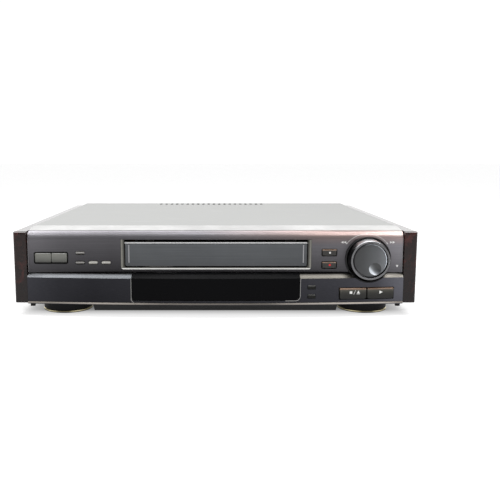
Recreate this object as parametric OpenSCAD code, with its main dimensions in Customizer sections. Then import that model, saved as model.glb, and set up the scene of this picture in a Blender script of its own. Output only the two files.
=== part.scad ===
// Video cassette recorder with a bowed lower front and wooden side cheeks.
// X runs to the right seen from the front, Y to the back, Z up; the feet stand on Z = 0.
// Inside the modules Y = 0 is the flat upper fascia; in_frame() moves it to its place.

/* [Case] */
// Width of the body between the side cheeks
body_w = 435; // [420:1:450]
// Depth from the upper fascia to the rear ends of the cheeks
case_d = 375; // [365:1:390]
// Height of the case above its feet
case_h = 87; // [85:1:92]
// Height of the feet
foot_h = 15; // [14:1:20]
// Thickness of the steel sheet
sheet_t = 1; // [0.8:0.1:1.2]
// Thickness of the moulded front walls
wall_t = 2.5; // [2:0.1:3]
// Bend radius along the sides of the top cover
bend_r = 4; // [2:0.5:6]
// Gap left between parts that only pass each other
gap = 0.4; // [0.3:0.05:0.5]

/* [Side cheeks] */
// Thickness of a wooden cheek
cheek_t = 15; // [10:1:20]
// Height of a wooden cheek
cheek_h = 83; // [78:1:84]
// Radius of the outer edges of a cheek
cheek_r = 2; // [1:0.5:4]
// How far a cheek reaches forward of the fascia
cheek_lead = 3; // [0:0.5:5]

/* [Lower front] */
// Height of the bowed lower front
lower_h = 35; // [34:0.5:36]
// How far the lower front stands forward at its ends
bow_lip = 6; // [5:0.5:8]
// Extra forward reach of the bow in the middle
bow_rise = 11.5; // [8:0.5:14]
// Drop of the slope along the bow's top edge
ledge_drop = 4.1; // [2:0.1:5]
// Width of the slope along the bow's top edge
ledge_w = 6; // [4:0.5:7]
// Height of the light trim strip along the bottom
trim_h = 1.9; // [1.5:0.1:3]
// How far the trim strip stands out
trim_t = 0.8; // [0.5:0.1:1.5]
// Left edge of the display window
window_x0 = -95.5; // [-98:0.5:-92]
// Right edge of the display window
window_x1 = 96.5; // [92:0.5:98]
// Height of the bar under the display window
sill_h = 5.5; // [5:0.1:6.5]
// Radius of the window's lower right corner
window_r = 5; // [2:0.5:7]
// Height of the door's hinge above the bottom of the case
hinge_h = 5.5; // [5:0.1:6]
// Radius of the door's hinge pins
hinge_r = 1.5; // [1:0.1:1.8]

/* [Cassette slot] */
// Sideways place of the slot's middle
slot_x = 0.9; // [-3:0.1:3]
// Width of the slot inside its trim
slot_w = 212; // [210:0.5:214]
// Height of the slot inside its trim
slot_h = 32.3; // [31:0.1:33]
// Height of the slot's bottom edge above the bottom of the case
slot_low = 41.3; // [41:0.1:42]
// Width of the trim beside the slot
slot_trim_w = 3.9; // [3:0.1:5]
// Height of the trim under the slot
slot_trim_h = 2.2; // [1.5:0.1:3]
// Thickness of the flap
flap_t = 2.4; // [2:0.1:2.6]
// Height of the flap
flap_h = 28.4; // [27:0.1:29]
// Radius of the flap's pivot pins
flap_pin_r = 1; // [0.8:0.1:1.1]

/* [Keys] */
// Travel of a key
key_travel = 1; // [0.6:0.1:1.2]
// Width of the operate key
operate_w = 18.7; // [16:0.1:19.5]
// Width of the timer key
timer_w = 17.8; // [15:0.1:18.5]
// Height of the operate and timer keys
power_key_h = 10.8; // [10:0.2:12]
// Width of an oval key
oval_w = 10.2; // [9:0.1:11]
// Height of an oval key
oval_h = 3.3; // [3:0.1:4]
// Width of the pause and record keys
pause_w = 16.4; // [15:0.2:17]
// Height of the pause and record keys
pause_h = 7; // [6:0.2:7.4]
// Width of the stop key and of the play key
play_w = 30.6; // [28:0.2:31]
// Height of the stop key and of the play key
play_h = 12.4; // [11:0.2:13]
// Open moat round the pause, record, stop and play keys
key_moat = 0.8; // [0.6:0.1:1.2]
// Chamfer round the face of a key
key_edge = 0.5; // [0.3:0.1:0.8]

/* [Jog and shuttle dial] */
// Place of the dial's middle as a share of half the body's width
dial_place = 0.8106; // [0.8:0.0002:0.815]
// Height of the dial's middle above the bottom of the case
dial_z = 51.3; // [50:0.1:54]
// Radius of the round recess
recess_r = 26; // [25.8:0.2:27]
// Radius of the shuttle ring where it meets the fascia
shuttle_r = 24.6; // [24:0.1:24.8]
// Radius of the shuttle ring's front rim
rim_r = 22.1; // [21.6:0.1:22.6]
// Radius of the jog disc
jog_r = 19; // [18:0.1:19.4]
// How far the shuttle ring stands out of the fascia
dial_reach = 14.5; // [12:0.5:15]
// Radius of the finger dimple
dimple_r = 7; // [5:0.2:8]
// Radius of the jog disc's shaft
jog_shaft_r = 3; // [2:0.2:3.4]
// Radius of the shuttle ring's hollow shaft
shuttle_shaft_r = 5; // [4.6:0.2:6]
// Radial running clearance of shafts and pins
run_fit = 0.05; // [0.03:0.01:0.08]

/* [Feet] */
// Distance from a foot's middle to the end of the body
foot_inset = 39; // [35:0.5:45]
// Place of the front feet behind the fascia
foot_y = 35; // [34:0.5:50]
// Radius of the ring round a front foot
foot_r = 29.4; // [24:0.2:32]
// Radius of a rear foot
rear_foot_r = 15; // [12:0.5:20]
// Distance from the rear feet to the back of the case
rear_foot_inset = 45; // [30:1:60]

/* [Vents] */
// Number of vent slots in the top cover
vent_n = 20; // [10:1:22]
// Distance between two vent slots
vent_pitch = 8.75; // [7:0.25:9]
// Width of a vent slot
vent_w = 4; // [2:0.5:5]
// Length of a vent slot
vent_len = 21; // [15:1:25]

/* [Tape deck] */
// Width of a cassette
tape_w = 188; // [187:0.5:189]
// Depth of a cassette
tape_d = 104; // [100:1:106]
// Height of a cassette
tape_h = 25; // [24:0.5:26]
// Travel of the cassette holder into the machine
load_in = 66; // [60:1:70]
// Travel of the cassette holder down onto the reels
load_down = 22; // [18:1:24]
// Diameter of the head drum
drum_d = 62; // [60:0.5:63]
// Tilt of the head drum in degrees
drum_tilt = 5; // [0:1:7]
// Distance from the slot's middle to each reel
reel_x = 46; // [44:0.5:48]
// Radius of the capstan
capstan_r = 2; // [1.5:0.1:2.5]
// Radius of the pinch roller
pinch_r = 7; // [6:0.5:8]
// Length of the pinch roller's arm
pinch_len = 21; // [20:0.5:22]
// Swing of the pinch roller's arm in degrees
pinch_swing = 44; // [30:1:46]
// Travel of the tape loading posts
post_travel = 66; // [50:1:70]

/* [Rear sockets] */
// Radius of a phono socket's sleeve
phono_r = 4.15; // [4:0.05:4.3]
// Radius of a phono socket's middle hole
phono_bore_r = 1.6; // [1.5:0.05:1.7]
// Distance between two phono sockets
phono_pitch = 14; // [12:0.5:18]
// Radius of an aerial socket
aerial_r = 4.75; // [4.5:0.05:5]

/* [Hidden] */

// Exact arcs need many segments to lie close to their true circle
$fn = 64;
bow_fn = 1440;

half_w = body_w / 2;
// The front mouldings leave a narrow shadow line beside each cheek
end_x = half_w - 2 * gap;
z0 = foot_h;
top_z = foot_h + case_h;
bow_front = bow_lip + bow_rise;
overall_d = case_d + bow_front + trim_t;
y_face = bow_front + trim_t - overall_d / 2;
bow_r = (half_w * half_w + bow_rise * bow_rise) / (2 * bow_rise);
ledge_z = z0 + lower_h;
groove_h = 0.6;
fascia_z = ledge_z + groove_h;
fascia_top = top_z - 3.8;
fascia_t = 3;
fascia_round = 9;
fascia_return = 12;
strip_back = 30;
strip_lip = 0.45;
dial_x = half_w * dial_place;
foot_x = half_w - foot_inset;
board_y = 12;
board_t = 1.6;
floor_z = z0 + sheet_t;
far = 500;

// Moves what is drawn about the fascia to its place in the part's own frame
module in_frame() translate([0, y_face, 0]) children();

// Draws a front view, X across and Z up, from y0 back to y1
module along_y(y0, y1) translate([0, y1, 0]) rotate([90, 0, 0]) linear_extrude(y1 - y0) children();

// Draws a side view, Y across and Z up, from x0 right to x1
module along_x(x0, x1) translate([x0, 0, 0]) rotate([90, 0, 90]) linear_extrude(x1 - x0) children();

// Draws a plan from z0 up to z1
module along_z(low, high) translate([0, 0, low]) linear_extrude(high - low) children();

// A block given by its two corners
module block(x0, x1, y0, y1, low, high)
    translate([x0, y0, low]) cube([x1 - x0, y1 - y0, high - low]);

// A flat rectangle given by its two corners
module rect(x0, x1, low, high) translate([x0, low]) square([x1 - x0, high - low]);

// A flat rectangle about the origin with round corners
module plate(w, h, r) {
    square([w - 2 * r, h], center = true);
    square([w, h - 2 * r], center = true);
    for (sx = [-1, 1], sy = [-1, 1]) translate([sx * (w / 2 - r), sy * (h / 2 - r)]) circle(r);
}

// A flat rectangle standing on the origin with round upper corners
module arch(w, h, r) {
    translate([-w / 2, 0]) square([w, h - r]);
    translate([-w / 2 + r, 0]) square([w - 2 * r, h]);
    for (side = [-1, 1]) translate([side * (w / 2 - r), h - r]) circle(r);
}

// A pin or bore along X
module pin_x(x0, x1, y, z, r) translate([x0, y, z]) rotate([0, 90, 0]) cylinder(h = x1 - x0, r = r);

// A pin or bore along Y
module pin_y(x, y0, y1, z, r) translate([x, y0, z]) rotate([-90, 0, 0]) cylinder(h = y1 - y0, r = r);

// A pin or bore along Z
module pin_z(x, y, low, high, r) translate([x, y, low]) cylinder(h = high - low, r = r);

// ---------- Lower front: one bowed form shared by the door, the window and the moulding ----------

// Plan of the bow, set in by some depth, from its face back to y1
module bow_plan(inset, y1) {
    intersection() {
        translate([0, bow_r - bow_front]) circle(bow_r - inset, $fn = bow_fn);
        translate([-end_x, -far]) square([2 * end_x, far + y1]);
    }
}

// How far the bow's cross-section reaches in from its face
bow_depth = 60;

// Cross-section of the bow about its far axis, its face set in by some depth and its walls by some amount
module bow_section(inset, wall) {
    slope = ledge_drop / ledge_w;
    edge_z = ledge_z - ledge_drop - wall * sqrt(1 + slope * slope);
    top = ledge_z - wall;
    polygon([[bow_r - bow_depth, z0 + wall], [bow_r - inset, z0 + wall],
        [bow_r - inset, edge_z + slope * inset], [bow_r - (top - edge_z) / slope, top],
        [bow_r - bow_depth, top]]);
}

// Solid bowed form whose top edge slopes along the bow
module bow_solid(inset_face, inset_wall, y1) {
    intersection() {
        translate([0, bow_r - bow_front, 0]) rotate_extrude($fn = bow_fn)
            bow_section(inset_face, inset_wall);
        block(-end_x, end_x, -bow_front - 1, y1, z0, ledge_z);
    }
}

// Hollow bowed shell with a face, a ledge and a bottom
module bow_shell(inset, wall, y1) {
    difference() {
        bow_solid(inset, 0, y1);
        bow_solid(inset + wall, wall, y1 + 1);
    }
}

door_x0 = -end_x;
door_x1 = window_x0 - gap;
door_slant = sill_h;
sill_z = z0 + sill_h;
hinge_y = -1;
hinge_z = z0 + hinge_h;
hinge_lug = 2.4;
lug_x = [door_x0 + 8, door_x1 - 10];
lower_back = 4.9;

// Front view of the door, its lower right corner cut out to a slant
module door_outline() polygon([
    [door_x0, z0], [door_x1 + door_slant, z0], [door_x1, sill_z], [door_x1, ledge_z], [door_x0, ledge_z]]);

// Front view of the window with its round lower right corner
module window_outline(grow) {
    x0 = window_x0 - grow;
    x1 = window_x1 + grow;
    low = sill_z - grow;
    rect(x0, x1, low + window_r, ledge_z + 1);
    rect(x0, x1 - window_r, low, ledge_z + 1);
    translate([x1 - window_r, low + window_r]) circle(window_r);
}

module control_door() color("#2d2d32") in_frame() {
    difference() {
        intersection() {
            bow_shell(0, wall_t, 0);
            along_y(-far, 0) door_outline();
        }
        // The bottom stops short of the hinge so that it clears the case when the door opens
        block(-half_w, half_w, hinge_y - 4, far, z0 - 1, hinge_z + hinge_lug + gap);
        // Its slanted end swings under the sill of the lower front
        block(door_x1 - gap, half_w, hinge_y - hinge_h - gap, far, z0 - 1, hinge_z);
    }
    for (x = lug_x) {
        intersection() {
            block(x, x + 2, -far, hinge_y, hinge_z - 1.5, hinge_z + hinge_lug);
            bow_solid(wall_t / 2, 0, 0);
        }
        pin_x(x, x + 2, hinge_y, hinge_z, hinge_lug);
        pin_x(x - 3, x + 1, hinge_y, hinge_z, hinge_r);
    }
}

// Height of the dark edge that shows under the trim strip
trim_low = 0.9;

// Trim strip that follows the foot of the bow between two front views
module trim_arc() intersection() {
    along_z(z0 + trim_low, z0 + trim_low + trim_h) difference() {
        bow_plan(-trim_t, 0);
        bow_plan(0, 1);
    }
    along_y(-far, 0) children();
}

module door_trim() color("#a59e96") in_frame() trim_arc() door_outline();

module base_trim() color("#a59e96") in_frame() trim_arc()
    polygon([[door_x1 + door_slant + gap, z0], [end_x, z0], [end_x, sill_z], [door_x1 + gap, sill_z]]);

module lower_fascia() color("#3a3a40") in_frame() difference() {
    intersection() {
        bow_shell(0, wall_t, lower_back);
        along_y(-far, lower_back)
            polygon([[door_x1 + door_slant + gap, z0], [end_x, z0], [end_x, ledge_z],
                [door_x1 + gap, ledge_z], [door_x1 + gap, sill_z]]);
    }
    along_y(-far, 0.5) window_outline(gap / 2);
    pin_y(dial_x, -far, far, z0 + dial_z, recess_r);
    play_key_hole();
    for (z = slot_key_z) pin_hole_slot(z);
}

module display_window() color("#0a0a0c") in_frame() intersection() {
    bow_shell(0.3, 2, 0);
    along_y(-far, 0) window_outline(-gap / 2);
}

// ---------- Upper front ----------

// Side view of the fascia sheet, which curls back over the top
module fascia_profile(inset, y1) intersection() {
    union() {
        rect(inset, y1, fascia_z, fascia_top - fascia_round);
        rect(fascia_round, y1, fascia_z, fascia_top - inset);
        translate([fascia_round, fascia_top - fascia_round]) circle(fascia_round - inset);
    }
    rect(inset, y1, 0, far);
}

slot_z = z0 + slot_low;
slot_x0 = slot_x - slot_w / 2;
slot_x1 = slot_x + slot_w / 2;

// Front view of the slot, grown outwards by the trim
module slot_outline(side, low, top) {
    r = 3;
    x0 = slot_x0 - side;
    x1 = slot_x1 + side;
    rect(x0, x1, slot_z - low + r, slot_z + slot_h + top);
    rect(x0 + r, x1 - r, slot_z - low, slot_z + slot_h + top);
    for (x = [x0 + r, x1 - r]) translate([x, slot_z - low + r]) circle(r);
}

module upper_fascia() color("#545258") in_frame() difference() {
    along_x(-end_x, end_x) difference() {
        fascia_profile(0, fascia_return);
        fascia_profile(fascia_t, fascia_return + 1);
        rect(fascia_t, fascia_return + 1, fascia_z - 1, fascia_top - fascia_round);
    }
    along_y(-1, far) slot_outline(slot_trim_w + gap / 2, slot_trim_h + gap / 2, gap / 2);
    along_y(-1, well_depth) translate([well_x, power_key_z]) plate(well_w, well_h, well_margin + 1);
    along_y(-1, far) translate([well_x, power_key_z])
        plate(operate_w + timer_w + power_split + 2 * gap, power_key_h + 2 * gap, 1.5);
    for (place = oval_places) {
        along_y(-1, far) translate(place) oval(oval_w + 2 * gap, oval_h + 2 * gap);
    }
    for (z = pause_z) {
        along_y(-1, far) translate([pause_x, z])
            plate(pause_w + 2 * key_moat, pause_h + 2 * key_moat, key_moat + 0.8);
    }
    pin_y(dial_x, -far, far, z0 + dial_z, recess_r);
}

spring_y = 7.6;
spring_x = slot_x1 + 1.6;

module slot_trim() color("#8f8f86") in_frame() difference() {
    union() {
        difference() {
            along_y(-0.8, 5) slot_outline(slot_trim_w, slot_trim_h, 0);
            along_y(-2, 6) slot_outline(0, 0, 1);
        }
        // Bracket with the peg that the flap's spring sits on
        block(slot_x1 + 0.4, spring_x - 0.2, 4, spring_y + 2, flap_pin_z - 3, flap_pin_z + 3);
        pin_x(slot_x1 + 1, spring_x + 5, spring_y, flap_pin_z, 1);
    }
    pin_x(slot_x0 - 3, slot_x1 + 3, flap_pin_y, flap_pin_z, flap_pin_r + run_fit);
}

// Moulded frame that carries the fascia: the sloping top strip, the end walls and the bottom rail
module front_bezel() color("#8c8a86") in_frame() {
    intersection() {
        along_x(-end_x, end_x) polygon([
            [fascia_round, fascia_top], [fascia_round, fascia_top + strip_lip], [strip_back, top_z],
            [strip_back, fascia_top - 1.5], [fascia_return, fascia_top - 1.5],
            [fascia_return, fascia_top]]);
        // Its ends turn down as the sides of the top cover do
        along_y(0, strip_back) translate([0, z0]) arch(cover_w, top_z - z0, bend_r);
    }
    for (side = [-1, 1]) {
        x = side * (half_w - gap - wall_t / 2);
        translate([x, 0, 0]) along_x(-wall_t / 2, wall_t / 2) {
            rect(fascia_return, strip_back, floor_z, fascia_top);
            rect(lower_back, strip_back, floor_z, fascia_z);
            rect(fascia_t, strip_back, fascia_z, fascia_top - fascia_round);
        }
    }
    block(-half_w + gap, half_w - gap, lower_back + 1.1, strip_back, floor_z, floor_z + wall_t);
}

// ---------- Cassette flap ----------

flap_z0 = slot_z + 1.3;
flap_z1 = flap_z0 + flap_h;
flap_x0 = slot_x0 + 0.8;
flap_x1 = slot_x1 - 0.7;
flap_corner = 1.5;
// The pins reach from the flap's ends into the trim
flap_pin_x0 = slot_x0 - 1.5;
flap_pin_x1 = slot_x1 + 1.4;
flap_y = 1.6;
flap_pin_y = flap_y + flap_t / 2;
flap_pin_z = flap_z1 - flap_t / 2;

module cassette_flap() color("#55585a") in_frame() {
    difference() {
        union() {
            intersection() {
                along_x(flap_x0, flap_x1) {
                    rect(flap_y, flap_y + flap_t, flap_z0, flap_z1 - flap_t / 2);
                    translate([flap_pin_y, flap_pin_z]) circle(flap_t / 2);
                }
                along_y(0, far) translate([(flap_x0 + flap_x1) / 2, (flap_z0 + flap_z1) / 2])
                    plate(flap_x1 - flap_x0, flap_h, flap_corner);
            }
            // A raised rib near each end
            for (x = [flap_x0 + 4.3, flap_x1 - 4.3]) {
                block(x - 0.6, x + 0.6, flap_y - 0.6, flap_y + 1, flap_z0 + 4, flap_z1 - 3.4);
            }
        }
        // Shallow step that sets the bright top edge off
        block(flap_x0 - 1, flap_x1 + 1, flap_y - 0.7, flap_y + 0.3, flap_z1 - 2.6, flap_z1 - 2.2);
    }
    pin_x(flap_pin_x0, flap_x0 + 3, flap_pin_y, flap_pin_z, flap_pin_r);
    pin_x(flap_x1 - 3, flap_pin_x1, flap_pin_y, flap_pin_z, flap_pin_r);
}

module flap_spring() color("#b0b0b0") in_frame() difference() {
    union() {
        pin_x(spring_x, spring_x + 4, spring_y, flap_pin_z, 1.9);
        block(spring_x + 3.2, spring_x + 4, spring_y, spring_y + 3.6, flap_pin_z - 1.9, flap_pin_z - 1.1);
    }
    pin_x(spring_x - 1, spring_x + 5, spring_y, flap_pin_z, 1.1);
}

// ---------- Keys ----------

// Places of the keys in the front view, measured from the middle and from the case's bottom
power_key_z = z0 + 52.5;
well_margin = 1.4;
well_depth = 1.4;
power_split = 0.4;
well_w = operate_w + timer_w + power_split + 2 * well_margin;
well_h = power_key_h + 2 * well_margin + 0.4;
well_x = -half_w + 7.7 + well_w / 2;
operate_x = well_x - well_w / 2 + well_margin + operate_w / 2;
timer_x = well_x + well_w / 2 - well_margin - timer_w / 2;
// The flanges of the oval keys share the room between the well and the slot's trim
oval_x0 = well_x + well_w / 2;
oval_flange_w = oval_w + 1.2;
oval_spare = slot_x0 - slot_trim_w - oval_x0 - 3 * oval_flange_w;
oval_row_z = z0 + 47;
oval_x1 = oval_x0 + 0.31052 * oval_spare + oval_flange_w / 2;
oval_x2 = oval_x0 + 0.29916 * oval_spare + oval_flange_w / 2;
oval_x3 = oval_x2 + oval_flange_w + 0.13724 * oval_spare;
oval_x4 = oval_x3 + oval_flange_w + 0.13497 * oval_spare;
oval_places = [[oval_x1, z0 + 58.2], [oval_x2, oval_row_z], [oval_x3, oval_row_z], [oval_x4, oval_row_z]];
// The pause and record keys stand in the room between the slot's trim and the dial
pause_x = 0.47 * (slot_x1 + slot_trim_w) + 0.53 * (dial_x - recess_r);
pause_z = [z0 + 58.7, z0 + 44.1];
play_split = 1.4;
play_x0 = half_w - 12.5 - 2 * play_w - play_split;
play_low = z0 + 6.8;
slot_key_x = window_x1 + 13.4;
slot_key_z = [z0 + 20.8, z0 + 10.2];
slot_key_w = 8.6;
slot_key_h = 4;
stem_end = 9;
switch_y = 10.3;
flange_y = 3.3;

// A flat rectangle with fully round ends
module oval(w, h) {
    square([w - h, h], center = true);
    for (side = [-1, 1]) translate([side * (w - h) / 2, 0]) circle(h / 2);
}

// A key cap about the origin whose face is chamfered at the top, at the bottom and at both ends
module key_cap(y0, y1, w, h) intersection() {
    along_y(y0, y1) children();
    along_x(-w / 2, w / 2) polygon([[y1, -h / 2], [y0 + key_edge, -h / 2], [y0, key_edge - h / 2],
        [y0, h / 2 - key_edge], [y0 + key_edge, h / 2], [y1, h / 2]]);
    along_z(-h / 2, h / 2) polygon([[-w / 2, y1], [-w / 2, y0 + key_edge], [key_edge - w / 2, y0],
        [w / 2 - key_edge, y0], [w / 2, y0 + key_edge], [w / 2, y1]]);
}

// A key from its face back to its stem, with a flange that holds it behind the fascia
module key(x, z, y0, w, h, flange_w, flange_h, stem_r) {
    translate([x, 0, z]) key_cap(y0, flange_y + 1, w, h) children();
    along_y(flange_y, flange_y + 1) translate([x, z]) square([flange_w, flange_h], center = true);
    pin_y(x, flange_y, stem_end, z, stem_r);
}

// A key that shares the power well with its neighbour
module power_key(x, w) in_frame() key(x, power_key_z, -0.8, w, power_key_h, w - 1, power_key_h + 2, 2)
    plate(w, power_key_h, 1.4);

module operate_key() color("#5f5c56") power_key(operate_x, operate_w);
module timer_key() color("#5f5c56") power_key(timer_x, timer_w);

module oval_key(place) in_frame()
    key(place[0], place[1], -1.2, oval_w, oval_h, oval_flange_w, oval_h + 2, 1.2) oval(oval_w, oval_h);

module oval_key_1() color("#2e2b28") oval_key(oval_places[0]);
module oval_key_2() color("#2e2b28") oval_key(oval_places[1]);
module oval_key_3() color("#6c6860") oval_key(oval_places[2]);
module oval_key_4() color("#6c6860") oval_key(oval_places[3]);

// How far a flange reaches past the opening of its key
flange_lap = 0.8;
pause_face = -1.6;
hollow_r = 38.5;

module pause_pair(z) in_frame() difference() {
    reach = 2 * (key_moat + flange_lap);
    key(pause_x, z, pause_face, pause_w, pause_h, pause_w + reach, pause_h + reach, 2)
        plate(pause_w, pause_h, 1);
    // Finger hollow across the key's face
    pin_z(pause_x, pause_face + 0.5 - hollow_r, z - pause_h, z + pause_h, hollow_r);
}

module pause_key() color("#3b3732") pause_pair(pause_z[0]);
module record_key() color("#3b3732") pause_pair(pause_z[1]);

// The key's core runs from inside its cap back to its stem
play_key_core = -8.5;
play_key_back = 0.5;
play_proud = 2;
play_high = play_low + play_h;

// Opening in the bowed front for the stop and play keys
module play_key_hole() along_y(-far, 2)
    rect(play_x0 - key_moat, play_x0 + 2 * play_w + play_split + key_moat,
        play_low - key_moat, play_high + key_moat);

// Front view of a wide key, its lower corners rounder than its upper ones
module play_outline(x0) {
    x1 = x0 + play_w;
    r_low = 3;
    r_top = 1.2;
    rect(x0, x1, play_low + r_low, play_high - r_top);
    rect(x0 + r_low, x1 - r_low, play_low, play_high);
    rect(x0 + r_top, x1 - r_top, play_low + r_low, play_high);
    for (x = [x0 + r_low, x1 - r_low]) translate([x, play_low + r_low]) circle(r_low);
    for (x = [x0 + r_top, x1 - r_top]) translate([x, play_high - r_top]) circle(r_top);
}

// A band that follows the bow, between two radii from its far axis and with a chamfered face
module bow_band(r0, r1, low, high, edge) translate([0, bow_r - bow_front, 0]) rotate_extrude($fn = bow_fn)
    polygon([[r0, low], [r1 - edge, low], [r1, low + edge], [r1, high - edge], [r1 - edge, high],
        [r0, high]]);

// A wide key whose face follows the bow, with a flange that holds it behind the front
module bow_key(x0) in_frame() {
    x1 = x0 + play_w;
    reach = key_moat + flange_lap;
    intersection() {
        bow_band(bow_r - wall_t - 2, bow_r + play_proud, play_low, play_high, key_edge);
        along_y(-far, 0) play_outline(x0);
    }
    intersection() {
        bow_band(bow_r - wall_t - 2, bow_r - wall_t - 0.6, play_low - reach, play_high + reach, 0.2);
        block(x0, x1, -far, 0, 0, far);
    }
    block(x0 + 3, x1 - 3, play_key_core, play_key_back, play_low + 3, play_high - 3);
    pin_y((x0 + x1) / 2, 0, stem_end, play_low + play_h / 2, 2);
}

module stop_key() color("#4a4640") bow_key(play_x0);
module play_key() color("#4a4640") bow_key(play_x0 + play_w + play_split);

module pin_hole_slot(z) along_y(-far, 2) translate([slot_key_x, z])
    plate(slot_key_w + 2 * gap, slot_key_h + 2 * gap, 0.8);

slot_key_face = bow_r - bow_front - sqrt(pow(bow_r, 2) - pow(slot_key_x, 2));

module slot_key(z) in_frame() {
    translate([slot_key_x, 0, z]) key_cap(slot_key_face - 0.6, slot_key_face + 6, slot_key_w, slot_key_h)
        plate(slot_key_w, slot_key_h, 0.6);
    along_y(slot_key_face + wall_t + 0.6, slot_key_face + wall_t + 1.6) translate([slot_key_x, z])
        square([slot_key_w + 2, slot_key_h + 2], center = true);
    pin_y(slot_key_x, slot_key_face + 2, stem_end, z, 1.2);
}

module slot_key_upper() color("#3b3732") slot_key(slot_key_z[0]);
module slot_key_lower() color("#3b3732") slot_key(slot_key_z[1]);

// ---------- Jog and shuttle dial ----------

dial_zc = z0 + dial_z;
base_front = -4;
base_back = 3;
shuttle_back = base_front + 3 - gap;
shuttle_front = -dial_reach;
shuttle_h = shuttle_back - shuttle_front;
cup_r = recess_r - 0.8;
// The jog disc lies a little behind the rim, with an open ring round it
jog_inset = 1.2;
jog_moat = 1.1;
jog_t = 3.6;
jog_edge = 0.8;
jog_face = shuttle_front + jog_inset;
jog_back = jog_face + jog_t;
dimple_x = dial_x + 0.3 * jog_r;
dimple_z = dial_zc - 0.505 * jog_r;

module dial_base() color("#2c2c2f") in_frame() difference() {
    union() {
        pin_y(dial_x, base_front, base_back, dial_zc, recess_r - 0.1);
        // Cup wall that closes the recess where it cuts into the lower front
        intersection() {
            pin_y(dial_x, -far, base_front + 1, dial_zc, recess_r - 0.1);
            bow_solid(0.8, 0.8, 0);
        }
    }
    pin_y(dial_x, -far, base_front + 3, dial_zc, cup_r);
    pin_y(dial_x, base_front, base_back + 1, dial_zc, shuttle_shaft_r + run_fit);
}

module shuttle_ring() color("#39393c") in_frame() difference() {
    union() {
        // Its side tapers to a narrow front rim
        translate([dial_x, shuttle_back, dial_zc]) rotate([90, 0, 0]) rotate_extrude($fn = 128) polygon([
            [0, 0], [shuttle_r, 0], [shuttle_r, 1.5], [rim_r + 0.7, shuttle_h - 1], [rim_r, shuttle_h],
            [0, shuttle_h]]);
        pin_y(dial_x, shuttle_back - 1, base_back + 2, dial_zc, shuttle_shaft_r);
    }
    pin_y(dial_x, -far, jog_back + gap, dial_zc, jog_r + jog_moat);
    pin_y(dial_x, -far, far, dial_zc, jog_shaft_r + run_fit);
}

module jog_dial() color("#2f2f32") in_frame() difference() {
    union() {
        translate([dial_x, jog_back, dial_zc]) rotate([90, 0, 0]) rotate_extrude($fn = 128) polygon([
            [0, 0], [jog_r, 0], [jog_r, jog_t - jog_edge], [jog_r - jog_edge, jog_t], [0, jog_t]]);
        pin_y(dial_x, jog_back - 0.5, board_y - 1, dial_zc, jog_shaft_r);
    }
    // Finger dimple
    translate([dimple_x, jog_face - dimple_r * 1.2, dimple_z]) sphere(r = dimple_r * 1.562, $fn = 96);
}

module dial_encoder() color("#6a6f70") in_frame() difference() {
    union() {
        pin_y(dial_x, base_back + 2.6, board_y, dial_zc, 12);
        pin_y(dial_x, base_back + 2.2, board_y, dial_zc, 7);
    }
    pin_y(dial_x, 0, board_y - 0.8, dial_zc, jog_shaft_r + run_fit);
}

// ---------- Boards behind the front ----------

// A push switch on a board
module switch(x, z) block(x - 3, x + 3, switch_y, board_y, z - 3, z + 3);

module display_tube() color("#304038") in_frame() {
    along_y(-2, board_y - 1) translate([0, z0 + 20]) plate(124, 19, 2);
    block(-58, 58, board_y - 1, board_y, z0 + 13, z0 + 15);
}

module front_board() color("#1f5a36") in_frame() {
    along_y(board_y, board_y + board_t) difference() {
        polygon([[window_x0 + 5, floor_z + wall_t], [half_w - gap - wall_t, floor_z + wall_t],
            [half_w - gap - wall_t, fascia_top - 10], [slot_x1 + 6, fascia_top - 10],
            [slot_x1 + 6, fascia_z - 1], [window_x0 + 5, fascia_z - 1]]);
    }
    for (z = pause_z) switch(pause_x, z);
    for (z = slot_key_z) switch(slot_key_x, z);
    for (n = [0, 1]) switch(play_x0 + play_w / 2 + n * (play_w + play_split), play_low + play_h / 2);
}

module key_board() color("#1f5a36") in_frame() {
    block(-half_w + gap + wall_t, slot_x0 - 6, board_y, board_y + board_t, fascia_z + 3, fascia_top - 10);
    switch(operate_x, power_key_z);
    switch(timer_x, power_key_z);
    for (place = oval_places) switch(place[0], place[1]);
}

// ---------- Sockets behind the door ----------

av_y = 4;
av_t = 1.6;
av_z = z0 + 19;
av_pitch = 16;
av_phono_x = [for (n = [0 : 2]) window_x0 - 32.5 - n * av_pitch];
av_round_x = window_x0 - 84.5;
ear_t = 2;
// How much thinner a socket's neck is where it passes its panel
neck_step = 0.25;
// Room between a panel's face and the full sleeve of a socket
neck_room = 0.2;

// A phono socket: sleeve, neck, flange and middle bore, opening towards -Y
module phono(x, y_flange, reach, z) difference() {
    union() {
        pin_y(x, y_flange - reach, y_flange - av_t - neck_room, z, phono_r);
        pin_y(x, y_flange - av_t - 1, y_flange + 6, z, phono_r - neck_step);
        block(x - 5.5, x + 5.5, y_flange + 0.4, y_flange + 6, z - 5, z + 5);
    }
    pin_y(x, y_flange - reach - 1, y_flange + 4, z, phono_bore_r);
}

module av_panel() color("#26262a") in_frame() difference() {
    union() {
        block(-half_w + gap + wall_t, window_x0 - 3, av_y, av_y + av_t, floor_z + wall_t + 2, ledge_z - 1);
        // Lower web and the ears that carry the door
        for (x = lug_x) {
            pin_x(x - 3, x - 3 + ear_t, hinge_y, hinge_z, hinge_lug);
            block(x - 3, x - 3 + ear_t, hinge_y, av_y, hinge_z - 0.5, hinge_z + hinge_lug);
        }
    }
    for (x = lug_x) pin_x(x - 4, x, hinge_y, hinge_z, hinge_r + run_fit);
    for (x = av_phono_x) pin_y(x, 0, 10, av_z, phono_r + 0.2);
    pin_y(av_round_x, 0, 10, av_z, 6.2);
}

module av_sockets() color("#c8a040") in_frame() {
    for (x = av_phono_x) phono(x, av_y + av_t, 6, av_z);
    difference() {
        pin_y(av_round_x, av_y - 2, av_y + 8, av_z, 6);
        pin_y(av_round_x, av_y - 3, av_y + 5, av_z, 4.8);
    }
}

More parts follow.
